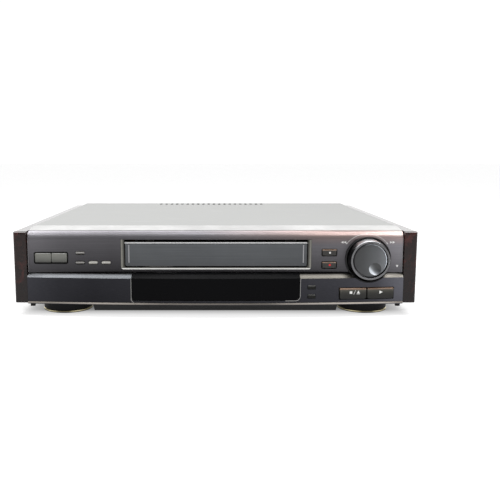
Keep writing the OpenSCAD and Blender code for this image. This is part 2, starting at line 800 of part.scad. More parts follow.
// ---------- Side cheeks, covers and feet ----------

cheek_low = z0 + gap;
cheek_top = cheek_low + cheek_h;
cheek_foot_r = 0.6 * cheek_r;
cheek_nose = 3;

// Cross-section of a cheek, its inner face on X = 0
module cheek_section() {
    rect(0, cheek_t - cheek_r, cheek_low, cheek_top);
    rect(0, cheek_t - cheek_foot_r, cheek_low, cheek_top - cheek_r);
    rect(0, cheek_t, cheek_low + cheek_foot_r, cheek_top - cheek_r);
    translate([cheek_t - cheek_r, cheek_top - cheek_r]) circle(cheek_r);
    translate([cheek_t - cheek_foot_r, cheek_low + cheek_foot_r]) circle(cheek_foot_r);
}

// A cheek with its section run from front to back and its nose rounded in side view and plan
module cheek() intersection() {
    translate([half_w, 0, 0]) along_y(-cheek_lead, case_d) cheek_section();
    along_x(0, far) {
        rect(-cheek_lead, case_d, cheek_low, cheek_top - cheek_nose);
        rect(-cheek_lead + cheek_nose, case_d, cheek_low, cheek_top);
        translate([cheek_nose - cheek_lead, cheek_top - cheek_nose]) circle(cheek_nose);
    }
    along_z(0, far) {
        translate([0, -cheek_lead]) square([half_w + cheek_t - cheek_nose, case_d + cheek_lead]);
        translate([0, cheek_nose - cheek_lead]) square([half_w + cheek_t, case_d]);
        translate([half_w + cheek_t - cheek_nose, cheek_nose - cheek_lead]) circle(cheek_nose);
    }
}

module wood_cheek_right() color("#2a1614") in_frame() cheek();
module wood_cheek_left() color("#2a1614") in_frame() mirror([1, 0, 0]) cheek();

cover_w = body_w - 2 * gap;
cover_back = case_d - 2;
cover_low = z0 + 5;
lip_h = 6;
screw_x = [17.5 - half_w, 0, half_w - 17.5];
screw_r = 1.5;
screw_z = top_z - 3.6;

// Steel cover: top, two sides with rolled edges, a rear lip and the vent slots
module top_cover() color("#cfd0cd") in_frame() difference() {
    union() {
        translate([0, 0, cover_low]) along_y(strip_back, cover_back) difference() {
            arch(cover_w, top_z - cover_low, bend_r);
            translate([0, -1])
                arch(cover_w - 2 * sheet_t, top_z - cover_low - sheet_t + 1, bend_r - sheet_t);
        }
        along_y(cover_back - sheet_t, cover_back) intersection() {
            translate([0, cover_low]) arch(cover_w, top_z - cover_low, bend_r);
            rect(-half_w, half_w, top_z - lip_h, top_z);
        }
    }
    for (n = [0 : vent_n - 1]) {
        x = slot_x - 5 + (n - (vent_n - 1) / 2) * vent_pitch;
        translate([x, cover_back - 5 - vent_len / 2, top_z - 3]) rotate([0, 0, 90])
            linear_extrude(6) oval(vent_len, vent_w);
    }
    for (x = screw_x) pin_y(x, cover_back - 3, cover_back + 1, screw_z, screw_r + 0.1);
}

module cover_screws() color("#202022") in_frame() for (x = screw_x) difference() {
    union() {
        pin_y(x, cover_back, cover_back + 1.8, screw_z, 3);
        pin_y(x, cover_back - 4, cover_back, screw_z, screw_r);
    }
    for (turn = [0, 90]) translate([x, cover_back + 1.8, screw_z]) rotate([0, turn, 0])
        cube([3.4, 1.6, 0.7], center = true);
}

rear_y = case_d - 11;
rear_t = 1.4;
inlet_x = 39.5 - half_w;
inlet_z = z0 + 26;
scart_z = z0 + 24;
scart_w = 47;
scart_h = 17;
aerial_x = half_w - 41.5;
aerial_z = [z0 + 17, z0 + 37];
phono_zs = [z0 + 17, z0 + 17 + phono_pitch];
phono_xs = [for (n = [0 : 3]) aerial_x - 88 + n * phono_pitch];
scart_x = [phono_xs[0] - 118, phono_xs[0] - 48];
// Room between the rear panel and the cover round it
panel_room = sheet_t + gap;

module rear_panel() color("#3c3d40") in_frame() difference() {
    union() {
        along_y(rear_y, rear_y + rear_t) translate([0, floor_z])
            arch(cover_w - 2 * panel_room, top_z - panel_room - floor_z, bend_r - sheet_t);
        for (x = screw_x) {
            block(x - 9, x + 9, rear_y, cover_back - sheet_t, top_z - 12, top_z - 12 + rear_t);
            block(x - 9, x + 9, cover_back - sheet_t - rear_t, cover_back - sheet_t,
                top_z - 12, top_z - panel_room);
        }
    }
    for (x = screw_x) pin_y(x, rear_y + 2, cover_back, screw_z, screw_r + 0.05);
    block(inlet_x - 12.2, inlet_x + 12.2, rear_y - 1, rear_y + 2, inlet_z - 8.2, inlet_z + 8.2);
    for (x = scart_x) {
        block(x - scart_w / 2 - 0.2, x + scart_w / 2 + 0.2, rear_y - 1, rear_y + 2,
            scart_z - scart_h / 2 - 0.2, scart_z + scart_h / 2 + 0.2);
    }
    for (x = phono_xs, z = phono_zs) pin_y(x, rear_y - 1, rear_y + 2, z, phono_r + 0.2);
    for (z = aerial_z) pin_y(aerial_x, rear_y - 1, rear_y + 2, z, aerial_r + 0.2);
    // Rows of cooling slots above the power supply
    for (n = [0 : 9]) {
        along_y(rear_y - 1, rear_y + 2) translate([57.5 - half_w + n * 10, top_z - 26])
            rotate([0, 0, 90]) oval(24, 4);
    }
}

// Two-pin mains inlet, open to the back
module mains_inlet() color("#1a1a1c") in_frame() {
    difference() {
        union() {
            block(inlet_x - 12, inlet_x + 12, rear_y - 16, rear_y + rear_t + 2, inlet_z - 8, inlet_z + 8);
            block(inlet_x - 13.5, inlet_x + 13.5, rear_y - 1.2, rear_y - 0.2, inlet_z - 10, inlet_z + 10);
        }
        along_y(rear_y - 12, rear_y + 8) translate([inlet_x, inlet_z]) oval(18, 10.5);
    }
    for (side = [-1, 1]) pin_y(inlet_x + side * 4.3, rear_y - 13, rear_y - 1, inlet_z, 1.2);
}

module scart_sockets() color("#1a1a1c") in_frame() for (x = scart_x) {
    difference() {
        block(x - scart_w / 2, x + scart_w / 2, rear_y - 12, rear_y + rear_t + 3,
            scart_z - scart_h / 2, scart_z + scart_h / 2);
        along_y(rear_y - 6, rear_y + 8) polygon([[x - 21.5, scart_z - 6.5], [x + 18.5, scart_z - 6.5],
            [x + 21.5, scart_z - 3.5], [x + 21.5, scart_z + 6.5], [x - 21.5, scart_z + 6.5]]);
    }
    // Contact blade carrier inside the shroud
    block(x - 18, x + 16, rear_y - 7, rear_y + 1, scart_z - 2.2, scart_z + 2.2);
}

// A socket's sleeve behind the rear panel, with its neck through it
module rear_sleeve(x, z, r) {
    pin_y(x, rear_y - 1, rear_y + rear_t + 1, z, r - neck_step);
    pin_y(x, rear_y + rear_t + neck_room, rear_y + 9, z, r);
}

// Phono sockets, two rows on one moulded block
module phono_sockets() color("#b99a4a") in_frame() difference() {
    union() {
        block(phono_xs[0] - 7, phono_xs[3] + 7, rear_y - 9, rear_y - 0.2,
            phono_zs[0] - 8, phono_zs[1] + 7);
        for (x = phono_xs, z = phono_zs) rear_sleeve(x, z, phono_r);
    }
    for (x = phono_xs, z = phono_zs) pin_y(x, rear_y - 6, rear_y + 10, z, phono_bore_r);
}

module tuner_can() color("#b8babc") in_frame() difference() {
    union() {
        block(aerial_x - 20, aerial_x + 20, rear_y - 58, rear_y - 0.2, board_z + board_t, z0 + 48);
        for (z = aerial_z) rear_sleeve(aerial_x, z, aerial_r);
    }
    for (z = aerial_z) pin_y(aerial_x, rear_y - 4, rear_y + 10, z, 1.2);
    // Rows of adjusting holes in the lid
    for (n = [0 : 3]) pin_z(aerial_x - 8, rear_y - 48 + n * 12, z0 + 46, z0 + 49, 2);
}

rear_foot_y = case_d - rear_foot_inset;
tab_w = 5;
tab_h = 5.6;

module bottom_cover() color("#5b5d60") in_frame() difference() {
    union() {
        block(-half_w + gap, half_w - gap, lower_back + 1, rear_y + rear_t, z0, floor_z);
        // Tabs that show below the front corners
        for (side = [-1, 1]) {
            x = side * (half_w - gap - tab_w / 2);
            block(x - tab_w / 2, x + tab_w / 2, lower_back + 1, lower_back + 5, z0 - tab_h, z0);
        }
    }
    for (row = [0 : 2], n = [0 : 7]) {
        translate([32.5 - half_w + n * 9, 210 + row * 34, z0 - 1]) rotate([0, 0, 90])
            linear_extrude(3) oval(26, 3.4);
    }
}

module base_skirt() color("#141416") in_frame() along_y(lower_back + 2, lower_back + 5)
    polygon([[-foot_x + foot_r + 4, z0 - 0.01], [foot_x - foot_r - 4, z0 - 0.01],
        [foot_x - foot_r - 7, 4], [-foot_x + foot_r + 7, 4]]);

pad_h = 0.8;
ring_t = 2.4;
ring_top = pad_h + 3.2;

module front_feet() color("#151517") in_frame() for (side = [-1, 1]) {
    translate([side * foot_x, foot_y, 0]) rotate_extrude($fn = 96) polygon([
        [0, pad_h], [foot_r - ring_t, pad_h], [foot_r - ring_t, ring_top], [foot_r - 0.6, ring_top],
        [foot_r - 0.6, z0], [0, z0]]);
}

module foot_rings() color("#c9a24a") in_frame() for (side = [-1, 1]) {
    translate([side * foot_x, foot_y, 0]) rotate_extrude($fn = 128) polygon([
        [foot_r - ring_t, pad_h], [foot_r - 0.8, pad_h], [foot_r, pad_h + 0.8], [foot_r, ring_top - 1],
        [foot_r - 0.8, ring_top], [foot_r - ring_t, ring_top]]);
}

module foot_pads() color("#0e0e10") in_frame() for (side = [-1, 1]) {
    pin_z(side * foot_x, foot_y, 0, pad_h, foot_r - 4);
    pin_z(side * foot_x, rear_foot_y, 0, pad_h, rear_foot_r - 2);
}

module rear_feet() color("#151517") in_frame() for (side = [-1, 1]) {
    translate([side * foot_x, rear_foot_y, 0]) rotate_extrude($fn = 96) polygon([
        [0, pad_h], [rear_foot_r - 1, pad_h], [rear_foot_r, pad_h + 1], [rear_foot_r - 1.4, z0], [0, z0]]);
}

// ---------- Chassis and boards ----------

rail_x = half_w - 12.5;
rail_t = 2.5;
rail_top = z0 + 25;
board_z = z0 + 7;
cross_y = [60, 200, rear_y - 24];
holder_wall = 1;
holder_room = 1;
holder_half = tape_w / 2 + holder_room + holder_wall;
slide_x = holder_half + 0.6;
slide_t = 1.2;
guide_x = slide_x + slide_t + 0.6;
guide_t = 1.5;
// The deck plate reaches past the brackets that guide the lift slides
deck_lip = 4.1;
deck_half = guide_x + guide_t + deck_lip;
// The boards lie between the tape deck and the side rails
board_x0 = slot_x + deck_half + 7;
board_x1 = rail_x - rail_t / 2 - gap;
board_step = (cross_y[2] - cross_y[0]) / 7;
board_top = board_z + board_t;

// Moulded chassis: two side rails and cross rails that the boards lie on
module main_frame() color("#2b2c2e") in_frame() {
    for (side = [-1, 1]) {
        x = side * rail_x;
        block(x - rail_t / 2, x + rail_t / 2, strip_back, rear_y, floor_z, rail_top);
    }
    for (y = cross_y) block(-rail_x, rail_x, y, y + 3, floor_z, board_z - 4);
    for (side = [-1, 1], y = cross_y) {
        x0 = side > 0 ? board_x0 - 4 : -rail_x;
        block(x0, x0 + rail_x - board_x0 + 4, y, y + 3, floor_z, board_z);
    }
}

module main_board() color("#1f5a36") in_frame() {
    block(board_x0, board_x1, cross_y[0], cross_y[2] + 3, board_z, board_top);
    // Chips, capacitors and a crystal can
    for (n = [0 : 3]) {
        y = cross_y[0] + 24 + n * board_step;
        block(board_x0 + 16, board_x0 + 40, y, y + 14, board_top, board_top + 4);
    }
    for (n = [0 : 4]) pin_z(board_x1 - 23, cross_y[0] + 24 + n * board_step, board_top, board_top + 14, 5);
    block(board_x0 + 38, board_x0 + 54, rear_y - 94, rear_y - 78, board_top, board_top + 10);
}

module power_board() color("#8a6a3a") in_frame() {
    y0 = cross_y[1];
    block(-board_x1, -board_x0, y0, cross_y[2] + 3, board_z, board_top);
    // Transformer: core and winding
    block(11.4 - board_x1, 55.4 - board_x1, y0 + 52, y0 + 90, board_top, board_top + 12);
    block(17.4 - board_x1, 49.4 - board_x1, y0 + 46, y0 + 96, board_top + 6, board_top + 30);
    // Main capacitor
    pin_z(-board_x0 - 18, y0 + 62, board_top, board_top + 34, 12);
    // Finned heat sink
    sink_x0 = 7.4 - board_x1;
    sink_x1 = -board_x0 - 12;
    block(sink_x0, sink_x1, y0 + 18, y0 + 21, board_top, board_top + 38);
    for (n = [0 : 8]) {
        x = sink_x0 + 2 + n * (sink_x1 - sink_x0 - 6) / 8;
        block(x, x + 2, y0 + 5, y0 + 19, board_top + 3, board_top + 38);
    }
}

// ---------- Tape deck ----------

deck_z = z0 + 10;
deck_t = 1.6;
deck_low = deck_z - deck_t;
deck_y0 = 84;
deck_y1 = 312;
guide_y1 = deck_y1 - 90;
holder_y = 34;
holder_z = slot_z + 2.6;
holder_top = holder_z + holder_wall + tape_h + holder_room + holder_wall;
slide_pin_z = z0 + 66;
slide_pin_y = [holder_y + 30, holder_y + 74];
holder_pin_y = [holder_y + 20, holder_y + 84];
holder_pin_z = holder_z + 10;
drum_y = holder_y + load_in + tape_d + 55;
drum_r = drum_d / 2;
drum_z = deck_z + 1.5;
drum_mid = 19;
drum_h = 38;
capstan_x = slot_x + 57;
capstan_y = holder_y + load_in + tape_d + 15;
capstan_top = deck_z + 38;
reel_y = holder_y + load_in + 55;
reel_r = 20;
post_x = slot_x + 40;
post_y = holder_y + load_in + tape_d - 10;
pivot_x = capstan_x + 30;
pivot_y = capstan_y + 5;
arm_z = deck_z + 26;
// The roller rests turned away from the capstan by the arm's swing
play_angle = 180 + asin(3 / pinch_len);
rest_angle = play_angle - pinch_swing - 2;
roller_x = pivot_x + pinch_len * cos(rest_angle);
roller_y = pivot_y + pinch_len * sin(rest_angle);

// A pressed steel deck on four posts, with the bearing seats and the tracks of the loading posts
module deck_plate() color("#a9abad") in_frame() difference() {
    union() {
        block(slot_x - deck_half, slot_x + deck_half, deck_y0, deck_y1, deck_low, deck_z);
        for (side = [-1, 1], y = [deck_y0 + 6, deck_y1 - 6]) {
            pin_z(slot_x + side * (deck_half - 7), y, floor_z, deck_low, 4);
        }
        // Side brackets that guide the lift slides
        for (side = [-1, 1]) difference() {
            x0 = slot_x + (side > 0 ? guide_x : -guide_x - guide_t);
            along_x(x0, x0 + guide_t) {
                rect(deck_y0, guide_y1, deck_z - 0.5, holder_top);
                rect(slide_pin_y[0] - 6, guide_y1, deck_z + 20, holder_top);
            }
            along_x(x0 - 1, x0 + guide_t + 1)
                guide_slot(slide_pin_y[0], slide_pin_y[1] + load_in, slide_pin_z, 2 + run_fit);
        }
        for (side = [-1, 1]) pin_z(slot_x + side * reel_x, reel_y, deck_z, deck_z + 12, 2);
        pin_z(pivot_x, pivot_y, deck_z, arm_z + 6, 2);
        pin_z(capstan_x, capstan_y, deck_low - 1, deck_z + 6, 5);
    }
    pin_z(capstan_x, capstan_y, 0, deck_z + 7, capstan_r + run_fit);
    for (side = [-1, 1]) {
        x = slot_x + side * 40;
        block(x - 2.2, x + 2.2, post_y - 3, post_y + post_travel + 3, deck_low - 1, deck_z + 1);
    }
}

// A straight slot with round ends in side view
module guide_slot(y0, y1, z, r) {
    rect(y0, y1, z - r, z + r);
    for (y = [y0, y1]) translate([y, z]) circle(r);
}

module drum_place() translate([slot_x, drum_y, deck_z + drum_mid]) rotate([0, drum_tilt, 0]) children();

module drum_lower() color("#b7b9bb") in_frame() difference() {
    union() {
        drum_place() translate([0, 0, -14]) cylinder(h = 13.8, r = drum_r - 0.05);
        pin_z(slot_x, drum_y, deck_z, deck_z + drum_mid - 8, 22);
    }
    drum_place() translate([0, 0, -13]) cylinder(h = 30, r = drum_shaft_r + run_fit);
}

drum_shaft_r = 3;

module drum_upper() color("#cfd1d3") in_frame() drum_place() difference() {
    union() {
        rotate_extrude($fn = 128) polygon([
            [0, 0.2], [drum_r, 0.2], [drum_r, 14], [drum_r - 1, 15], [11, 15], [11, 18],
            [10, 19], [0, 19]]);
        translate([0, 0, -12]) cylinder(h = 14, r = drum_shaft_r);
    }
    // Head windows in the lower rim
    for (turn = [0, 90, 180, 270]) rotate([0, 0, turn]) translate([drum_r - 2, -3, 0]) cube([4, 6, 3]);
    // Balance holes in the top face
    for (n = [0 : 5]) rotate([0, 0, 60 * n + 30]) translate([drum_r - 9, 0, 12]) cylinder(h = 4, r = 2.5);
}

fly_top = deck_low - 1 - gap;
fly_t = 3.6;

module capstan() color("#c4c6c8") in_frame() difference() {
    union() {
        pin_z(capstan_x, capstan_y, fly_top - fly_t, capstan_top, capstan_r);
        pin_z(capstan_x, capstan_y, fly_top - fly_t, fly_top, 28);
    }
    for (n = [0 : 2]) rotate_about(capstan_x, capstan_y, 120 * n)
        pin_z(capstan_x + 17, capstan_y, fly_top - fly_t - 1, fly_top + 1, 6);
}

// Turns what follows about an upright axis
module rotate_about(x, y, angle)
    translate([x, y, 0]) rotate([0, 0, angle]) translate([-x, -y, 0]) children();

arm_top = deck_z + 36;
roller_low = deck_z + 13;

module pinch_arm() color("#9fa1a3") in_frame() difference() {
    union() {
        pin_z(pivot_x, pivot_y, deck_z + gap, arm_top, 4.5);
        pin_z(roller_x, roller_y, arm_top - 3, arm_top, 4);
        rotate_about(pivot_x, pivot_y, rest_angle)
            block(pivot_x + 3, pivot_x + pinch_len - 2, pivot_y - 3, pivot_y + 3,
                arm_top - 2.5, arm_top - 0.5);
        pin_z(roller_x, roller_y, roller_low - 1.4, arm_top - 1, 1.5);
        pin_z(roller_x, roller_y, roller_low - 1.4, roller_low - 0.4, 2.6);
    }
    pin_z(pivot_x, pivot_y, 0, arm_top - 1, pivot_r + run_fit);
}

pivot_r = 2;

module pinch_roller() color("#1b1b1c") in_frame() difference() {
    pin_z(roller_x, roller_y, roller_low, arm_top - 3 - gap, pinch_r);
    pin_z(roller_x, roller_y, 0, far, 1.5 + run_fit);
}

// A reel table: geared disc, hub with three drive ribs, and the bore for its fixed shaft
module reel_table(side) {
    x = slot_x + side * reel_x;
    in_frame() difference() {
        union() {
            pin_z(x, reel_y, deck_z + gap, deck_z + 5, reel_r - 1.6);
            for (n = [0 : 35]) rotate_about(x, reel_y, 10 * n)
                block(x + reel_r - 2.4, x + reel_r, reel_y - 0.8, reel_y + 0.8, deck_z + gap, deck_z + 5);
            pin_z(x, reel_y, deck_z + 4, deck_z + 8, 13);
            pin_z(x, reel_y, deck_z + 7, deck_z + 20, 6);
            translate([x, reel_y, deck_z + 20]) cylinder(h = 4, r1 = 6, r2 = 2.5);
            for (n = [0 : 2]) rotate_about(x, reel_y, 120 * n)
                block(x + 4, x + 8.6, reel_y - 1, reel_y + 1, deck_z + 7, deck_z + 19);
        }
        pin_z(x, reel_y, deck_z - 1, deck_z + 13, 2 + run_fit);
    }
}

module supply_reel() color("#2a2a2c") reel_table(-1);
module takeup_reel() color("#2a2a2c") reel_table(1);

module loading_posts() color("#b9bbbd") in_frame() for (side = [-1, 1]) {
    x = slot_x + side * 40;
    pin_z(x, post_y, deck_low, deck_z + 1, 2);
    pin_z(x, post_y, deck_z + 0.3, deck_z + 5, 5);
    pin_z(x, post_y, deck_z + 4, deck_z + 35, 1.5);
    pin_z(x, post_y, deck_z + 12, deck_z + 14, 3.6);
    pin_z(x, post_y, deck_z + 14, deck_z + 27, 2.8);
    pin_z(x, post_y, deck_z + 27, deck_z + 29, 3.6);
}

bridge_top = holder_top + 1.6;

// Two side plates with upright slots, joined by a bridge over the cassette holder
module lift_slides() color("#8f9193") in_frame() {
    for (side = [-1, 1]) {
        x0 = slot_x + (side > 0 ? slide_x : -slide_x - slide_t);
        difference() {
            block(x0, x0 + slide_t, holder_y + 8, holder_pin_y[1] + 12,
                holder_pin_z - load_down - 6, bridge_top);
            for (y = holder_pin_y) {
                block(x0 - 1, x0 + slide_t + 1, y - 2.1, y + 2.1,
                    holder_pin_z - load_down, holder_pin_z);
                for (z = [holder_pin_z - load_down, holder_pin_z]) {
                    pin_x(x0 - 1, x0 + slide_t + 1, y, z, 2.1);
                }
            }
        }
        pin_x0 = side > 0 ? x0 + slide_t - 0.5 : x0 - 2.2;
        for (y = slide_pin_y) pin_x(pin_x0, pin_x0 + 2.7, y, slide_pin_z, 2);
    }
    block(slot_x - slide_x - 0.5, slot_x + slide_x + 0.5, holder_y + 44, holder_y + 74,
        bridge_top - 1, bridge_top);
}

// Cassette holder: ledges, sides and top, open to the front and over the reels
module cassette_holder() color("#a5a7a9") in_frame() {
    y1 = holder_y + tape_d + 2;
    difference() {
        block(slot_x - holder_half, slot_x + holder_half, holder_y, y1, holder_z, holder_top);
        block(slot_x - holder_half + holder_wall, slot_x + holder_half - holder_wall, holder_y - 1, y1 + 1,
            holder_z + holder_wall, holder_top - holder_wall);
        block(slot_x - 80, slot_x + 80, holder_y - 1, y1 + 1, holder_z - 1, holder_z + holder_wall + 1);
        // Window in the top and two sprung tongues beside it
        along_z(holder_top - 2, holder_top + 1) translate([slot_x, holder_y + 24]) plate(90, 26, 4);
        for (side = [-1, 1]) {
            x = slot_x + side * 70;
            block(x - 9, x + 9, holder_y + 60, holder_y + 62, holder_top - 2, holder_top + 1);
        }
    }
    for (side = [-1, 1]) {
        x0 = slot_x + (side > 0 ? holder_half - 13 : -holder_half);
        block(x0, x0 + 13, y1 - 1, y1, holder_z, holder_z + 12);
        x1 = slot_x + (side > 0 ? holder_half - 0.5 : -holder_half - slide_t - 0.6);
        for (y = holder_pin_y) pin_x(x1, x1 + slide_t + 1.1, y, holder_pin_z, 2);
    }
}

top_cover();
bottom_cover();
main_frame();
rear_panel();
front_bezel();
upper_fascia();
lower_fascia();
base_trim();
display_window();
display_tube();
front_board();
key_board();
slot_trim();
cassette_flap();
flap_spring();
control_door();
door_trim();
av_panel();
av_sockets();
wood_cheek_left();
wood_cheek_right();
front_feet();
foot_rings();
foot_pads();
rear_feet();
base_skirt();
cover_screws();
operate_key();
timer_key();
oval_key_1();
oval_key_2();
oval_key_3();
oval_key_4();
pause_key();
record_key();
stop_key();
play_key();
slot_key_upper();
slot_key_lower();
dial_base();
dial_encoder();
shuttle_ring();
jog_dial();
mains_inlet();
scart_sockets();
phono_sockets();
tuner_can();
main_board();
power_board();
deck_plate();
drum_lower();
drum_upper();
capstan();
pinch_arm();
pinch_roller();
supply_reel();
takeup_reel();
loading_posts();
lift_slides();
cassette_holder();
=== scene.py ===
"""Looks of a video cassette recorder: finishes, printed marks, trims and the studio round it."""

import math

import bmesh
import bpy
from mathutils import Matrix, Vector


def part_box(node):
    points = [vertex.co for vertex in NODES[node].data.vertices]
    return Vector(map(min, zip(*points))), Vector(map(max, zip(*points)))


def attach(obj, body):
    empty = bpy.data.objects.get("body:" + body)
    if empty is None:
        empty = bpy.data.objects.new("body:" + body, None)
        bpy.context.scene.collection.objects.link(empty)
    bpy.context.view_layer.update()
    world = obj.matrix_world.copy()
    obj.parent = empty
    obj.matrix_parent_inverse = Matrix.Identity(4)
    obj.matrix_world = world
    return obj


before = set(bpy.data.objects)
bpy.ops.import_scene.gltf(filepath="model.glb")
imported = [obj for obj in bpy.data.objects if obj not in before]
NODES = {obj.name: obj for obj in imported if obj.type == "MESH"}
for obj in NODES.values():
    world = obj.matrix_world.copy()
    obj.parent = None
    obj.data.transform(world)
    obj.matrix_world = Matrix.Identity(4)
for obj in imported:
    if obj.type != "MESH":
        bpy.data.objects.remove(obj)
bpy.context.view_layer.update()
MM = 0.001

# The flat of the upper fascia, and how far its ends lie from the part's middle
FASCIA_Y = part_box("upper_fascia")[0].y
BODY_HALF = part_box("upper_fascia")[1].x

# Places across the part, in metres from its middle
SLOT_X = 0.0009
CAPSTAN_X = 0.0579
DIAL_X = 0.1763
FOOT_X = 0.1785

# Places behind the flat of the fascia, in metres
CAPSTAN_BEHIND = 0.219
DRUM_BEHIND = 0.259

# Depths of the bumps in the finishes, in metres
POLISHED, BRUSHED, GRAINED = 0.00003, 0.00004, 0.00005

WHITE = (1.0, 1.0, 1.0)
IN_SHADE = (0.012, 0.012, 0.012)
# Across and up: the side of the dial and its ring that is given painted light
PAINTED_LIGHT_SIDE = (0.75, 0.65)


# ---------- Small helpers for shader nodes ----------


class Shader:
    """One material and short ways to add nodes to it."""

    def __init__(self, name, colour, metallic, roughness, specular=0.5, coat=0.0, coat_roughness=0.03):
        self.material = bpy.data.materials.new(name)
        self.material.use_nodes = True
        self.tree = self.material.node_tree
        self.bsdf = self.tree.nodes["Principled BSDF"]
        self.set("Base Color", (*colour, 1.0))
        self.set("Metallic", metallic)
        self.set("Roughness", roughness)
        self.set("Specular IOR Level", specular)
        self.set("Coat Weight", coat)
        self.set("Coat Roughness", coat_roughness)
        self.place = self.add("ShaderNodeTexCoord").outputs["Object"]

    def set(self, socket, value):
        """Sets a plain value on the surface."""
        self.bsdf.inputs[socket].default_value = value

    def add(self, kind, **values):
        """Adds a node and sets its own properties."""
        node = self.tree.nodes.new(kind)
        for key, value in values.items():
            setattr(node, key, value)
        return node

    def link(self, out, into):
        """Links an output to an input."""
        self.tree.links.new(out, into)

    def feed(self, socket, out):
        """Links an output to a socket of the surface, in place of what fed it."""
        self.link(out, self.bsdf.inputs[socket])

    def stretched(self, scale, turn=(0.0, 0.0, 0.0)):
        """Object coordinates, scaled by its own factor on each axis."""
        node = self.add("ShaderNodeMapping")
        node.inputs["Scale"].default_value = scale
        node.inputs["Rotation"].default_value = turn
        self.link(self.place, node.inputs["Vector"])
        return node.outputs["Vector"]

    def noise(self, scale, detail, rough=0.5, vector=None, distortion=0.0):
        """Noise over the object, or over the given coordinates."""
        node = self.add("ShaderNodeTexNoise")
        node.inputs["Scale"].default_value = scale
        node.inputs["Detail"].default_value = detail
        node.inputs["Roughness"].default_value = rough
        node.inputs["Distortion"].default_value = distortion
        self.link(self.place if vector is None else vector, node.inputs["Vector"])
        return node.outputs["Fac"]

    def span(self, value, low, high, to_low=0.0, to_high=1.0):
        """Maps low..high to to_low..to_high, held at both ends."""
        node = self.add("ShaderNodeMapRange")
        self.link(value, node.inputs["Value"])
        for key, number in (("From Min", low), ("From Max", high), ("To Min", to_low), ("To Max", to_high)):
            node.inputs[key].default_value = number
        return node.outputs["Result"]

    def maths(self, operation, a, b=0.0):
        """One sum of two values, each a number or an output."""
        node = self.add("ShaderNodeMath", operation=operation)
        for slot, value in enumerate((a, b)):
            if isinstance(value, (int, float)):
                node.inputs[slot].default_value = value
            else:
                self.link(value, node.inputs[slot])
        return node.outputs["Value"]

    def curve(self, value, stops):
        """Maps a value through (place, height) stops, straight between them and held at both ends."""
        low, high = stops[0][0], stops[-1][0]
        top = max(height for _, height in stops)
        ramp = self.add("ShaderNodeValToRGB")
        self.link(self.span(value, low, high), ramp.inputs["Fac"])
        elements = ramp.color_ramp.elements
        while len(elements) < len(stops):
            elements.new(0.5)
        # The places come first, because the elements sort themselves by them
        for element, (place, _) in zip(elements, stops):
            element.position = (place - low) / (high - low)
        for element, (_, height) in zip(elements, stops):
            element.color = (height / top, height / top, height / top, 1.0)
        return self.maths("MULTIPLY", ramp.outputs["Color"], top)

    def between(self, share, first, second):
        """Mixes two numbers, each plain or an output."""
        rest = self.maths("MULTIPLY", first, self.maths("SUBTRACT", 1.0, share))
        return self.maths("ADD", rest, self.maths("MULTIPLY", second, share))

    def scaled(self, colour, factor):
        """A colour, a tuple or an output, times a number output."""
        node = self.add("ShaderNodeVectorMath", operation="SCALE")
        if isinstance(colour, tuple):
            node.inputs[0].default_value = colour
        else:
            self.link(colour, node.inputs[0])
        self.link(factor, node.inputs["Scale"])
        return node.outputs["Vector"]

    def base(self):
        """What feeds the base colour so far."""
        return self.bsdf.inputs["Base Color"].links[0].from_socket

    def parts(self, vector):
        """The X, Y and Z of a vector output."""
        node = self.add("ShaderNodeSeparateXYZ")
        self.link(vector, node.inputs["Vector"])
        return node.outputs["X"], node.outputs["Y"], node.outputs["Z"]

    def axes(self):
        """The place on the object along X, Y and Z."""
        return self.parts(self.place)

    def normal(self):
        """The direction that the surface looks in, along X, Y and Z."""
        return self.parts(self.add("ShaderNodeNewGeometry").outputs["Normal"])

    def upward(self):
        """How far the surface looks upwards, from -1 to 1."""
        return self.normal()[2]

    def towards(self, share_x, share_z):
        """How far the surface looks towards a direction across the front view."""
        x, _, z = self.normal()
        return self.maths("ADD", self.maths("MULTIPLY", x, share_x), self.maths("MULTIPLY", z, share_z))

    def blend(self, share, first, second):
        """Mixes two colours, each a tuple or an output."""
        node = self.add("ShaderNodeMix", data_type="RGBA")
        self.link(share, node.inputs["Factor"])
        for slot, value in ((6, first), (7, second)):
            if isinstance(value, tuple):
                node.inputs[slot].default_value = (*value, 1.0)
            else:
                self.link(value, node.inputs[slot])
        return node.outputs[2]

    def bump(self, height, strength, distance, edge=0.0):
        """Bumps the surface; edge rounds the shading of sharp edges by that radius in metres."""
        node = self.add("ShaderNodeBump")
        node.inputs["Strength"].default_value = strength
        node.inputs["Distance"].default_value = distance
        self.link(height, node.inputs["Height"])
        if edge:
            self.link(self.rounded(edge), node.inputs["Normal"])
        self.feed("Normal", node.outputs["Normal"])

    def rounded(self, radius):
        """Surface normals with the sharp edges rounded."""
        node = self.add("ShaderNodeBevel", samples=4)
        node.inputs["Radius"].default_value = radius
        return node.outputs["Normal"]


# ---------- Finishes ----------


def hairline(name, colour, roughness, edge=0.0003):
    """Metal or metal-look plastic brushed along X, a little uneven in tone."""
    s = Shader(name, colour, 1.0, roughness)
    lines = s.noise(1.0, 3.0, 0.7, s.stretched((9.0, 2600.0, 2600.0)))
    cloud = s.noise(14.0, 3.0)
    share = s.between(0.3, lines, cloud)
    dark = tuple(c * 0.78 for c in colour)
    light = tuple(min(1.0, c * 1.25) for c in colour)
    s.feed("Base Color", s.blend(s.span(share, 0.32, 0.68), dark, light))
    s.feed("Roughness", s.span(lines, 0.3, 0.7, roughness * 0.85, roughness * 1.2))
    s.set("Anisotropic", 0.45)
    s.bump(lines, 0.12, BRUSHED, edge)
    return s


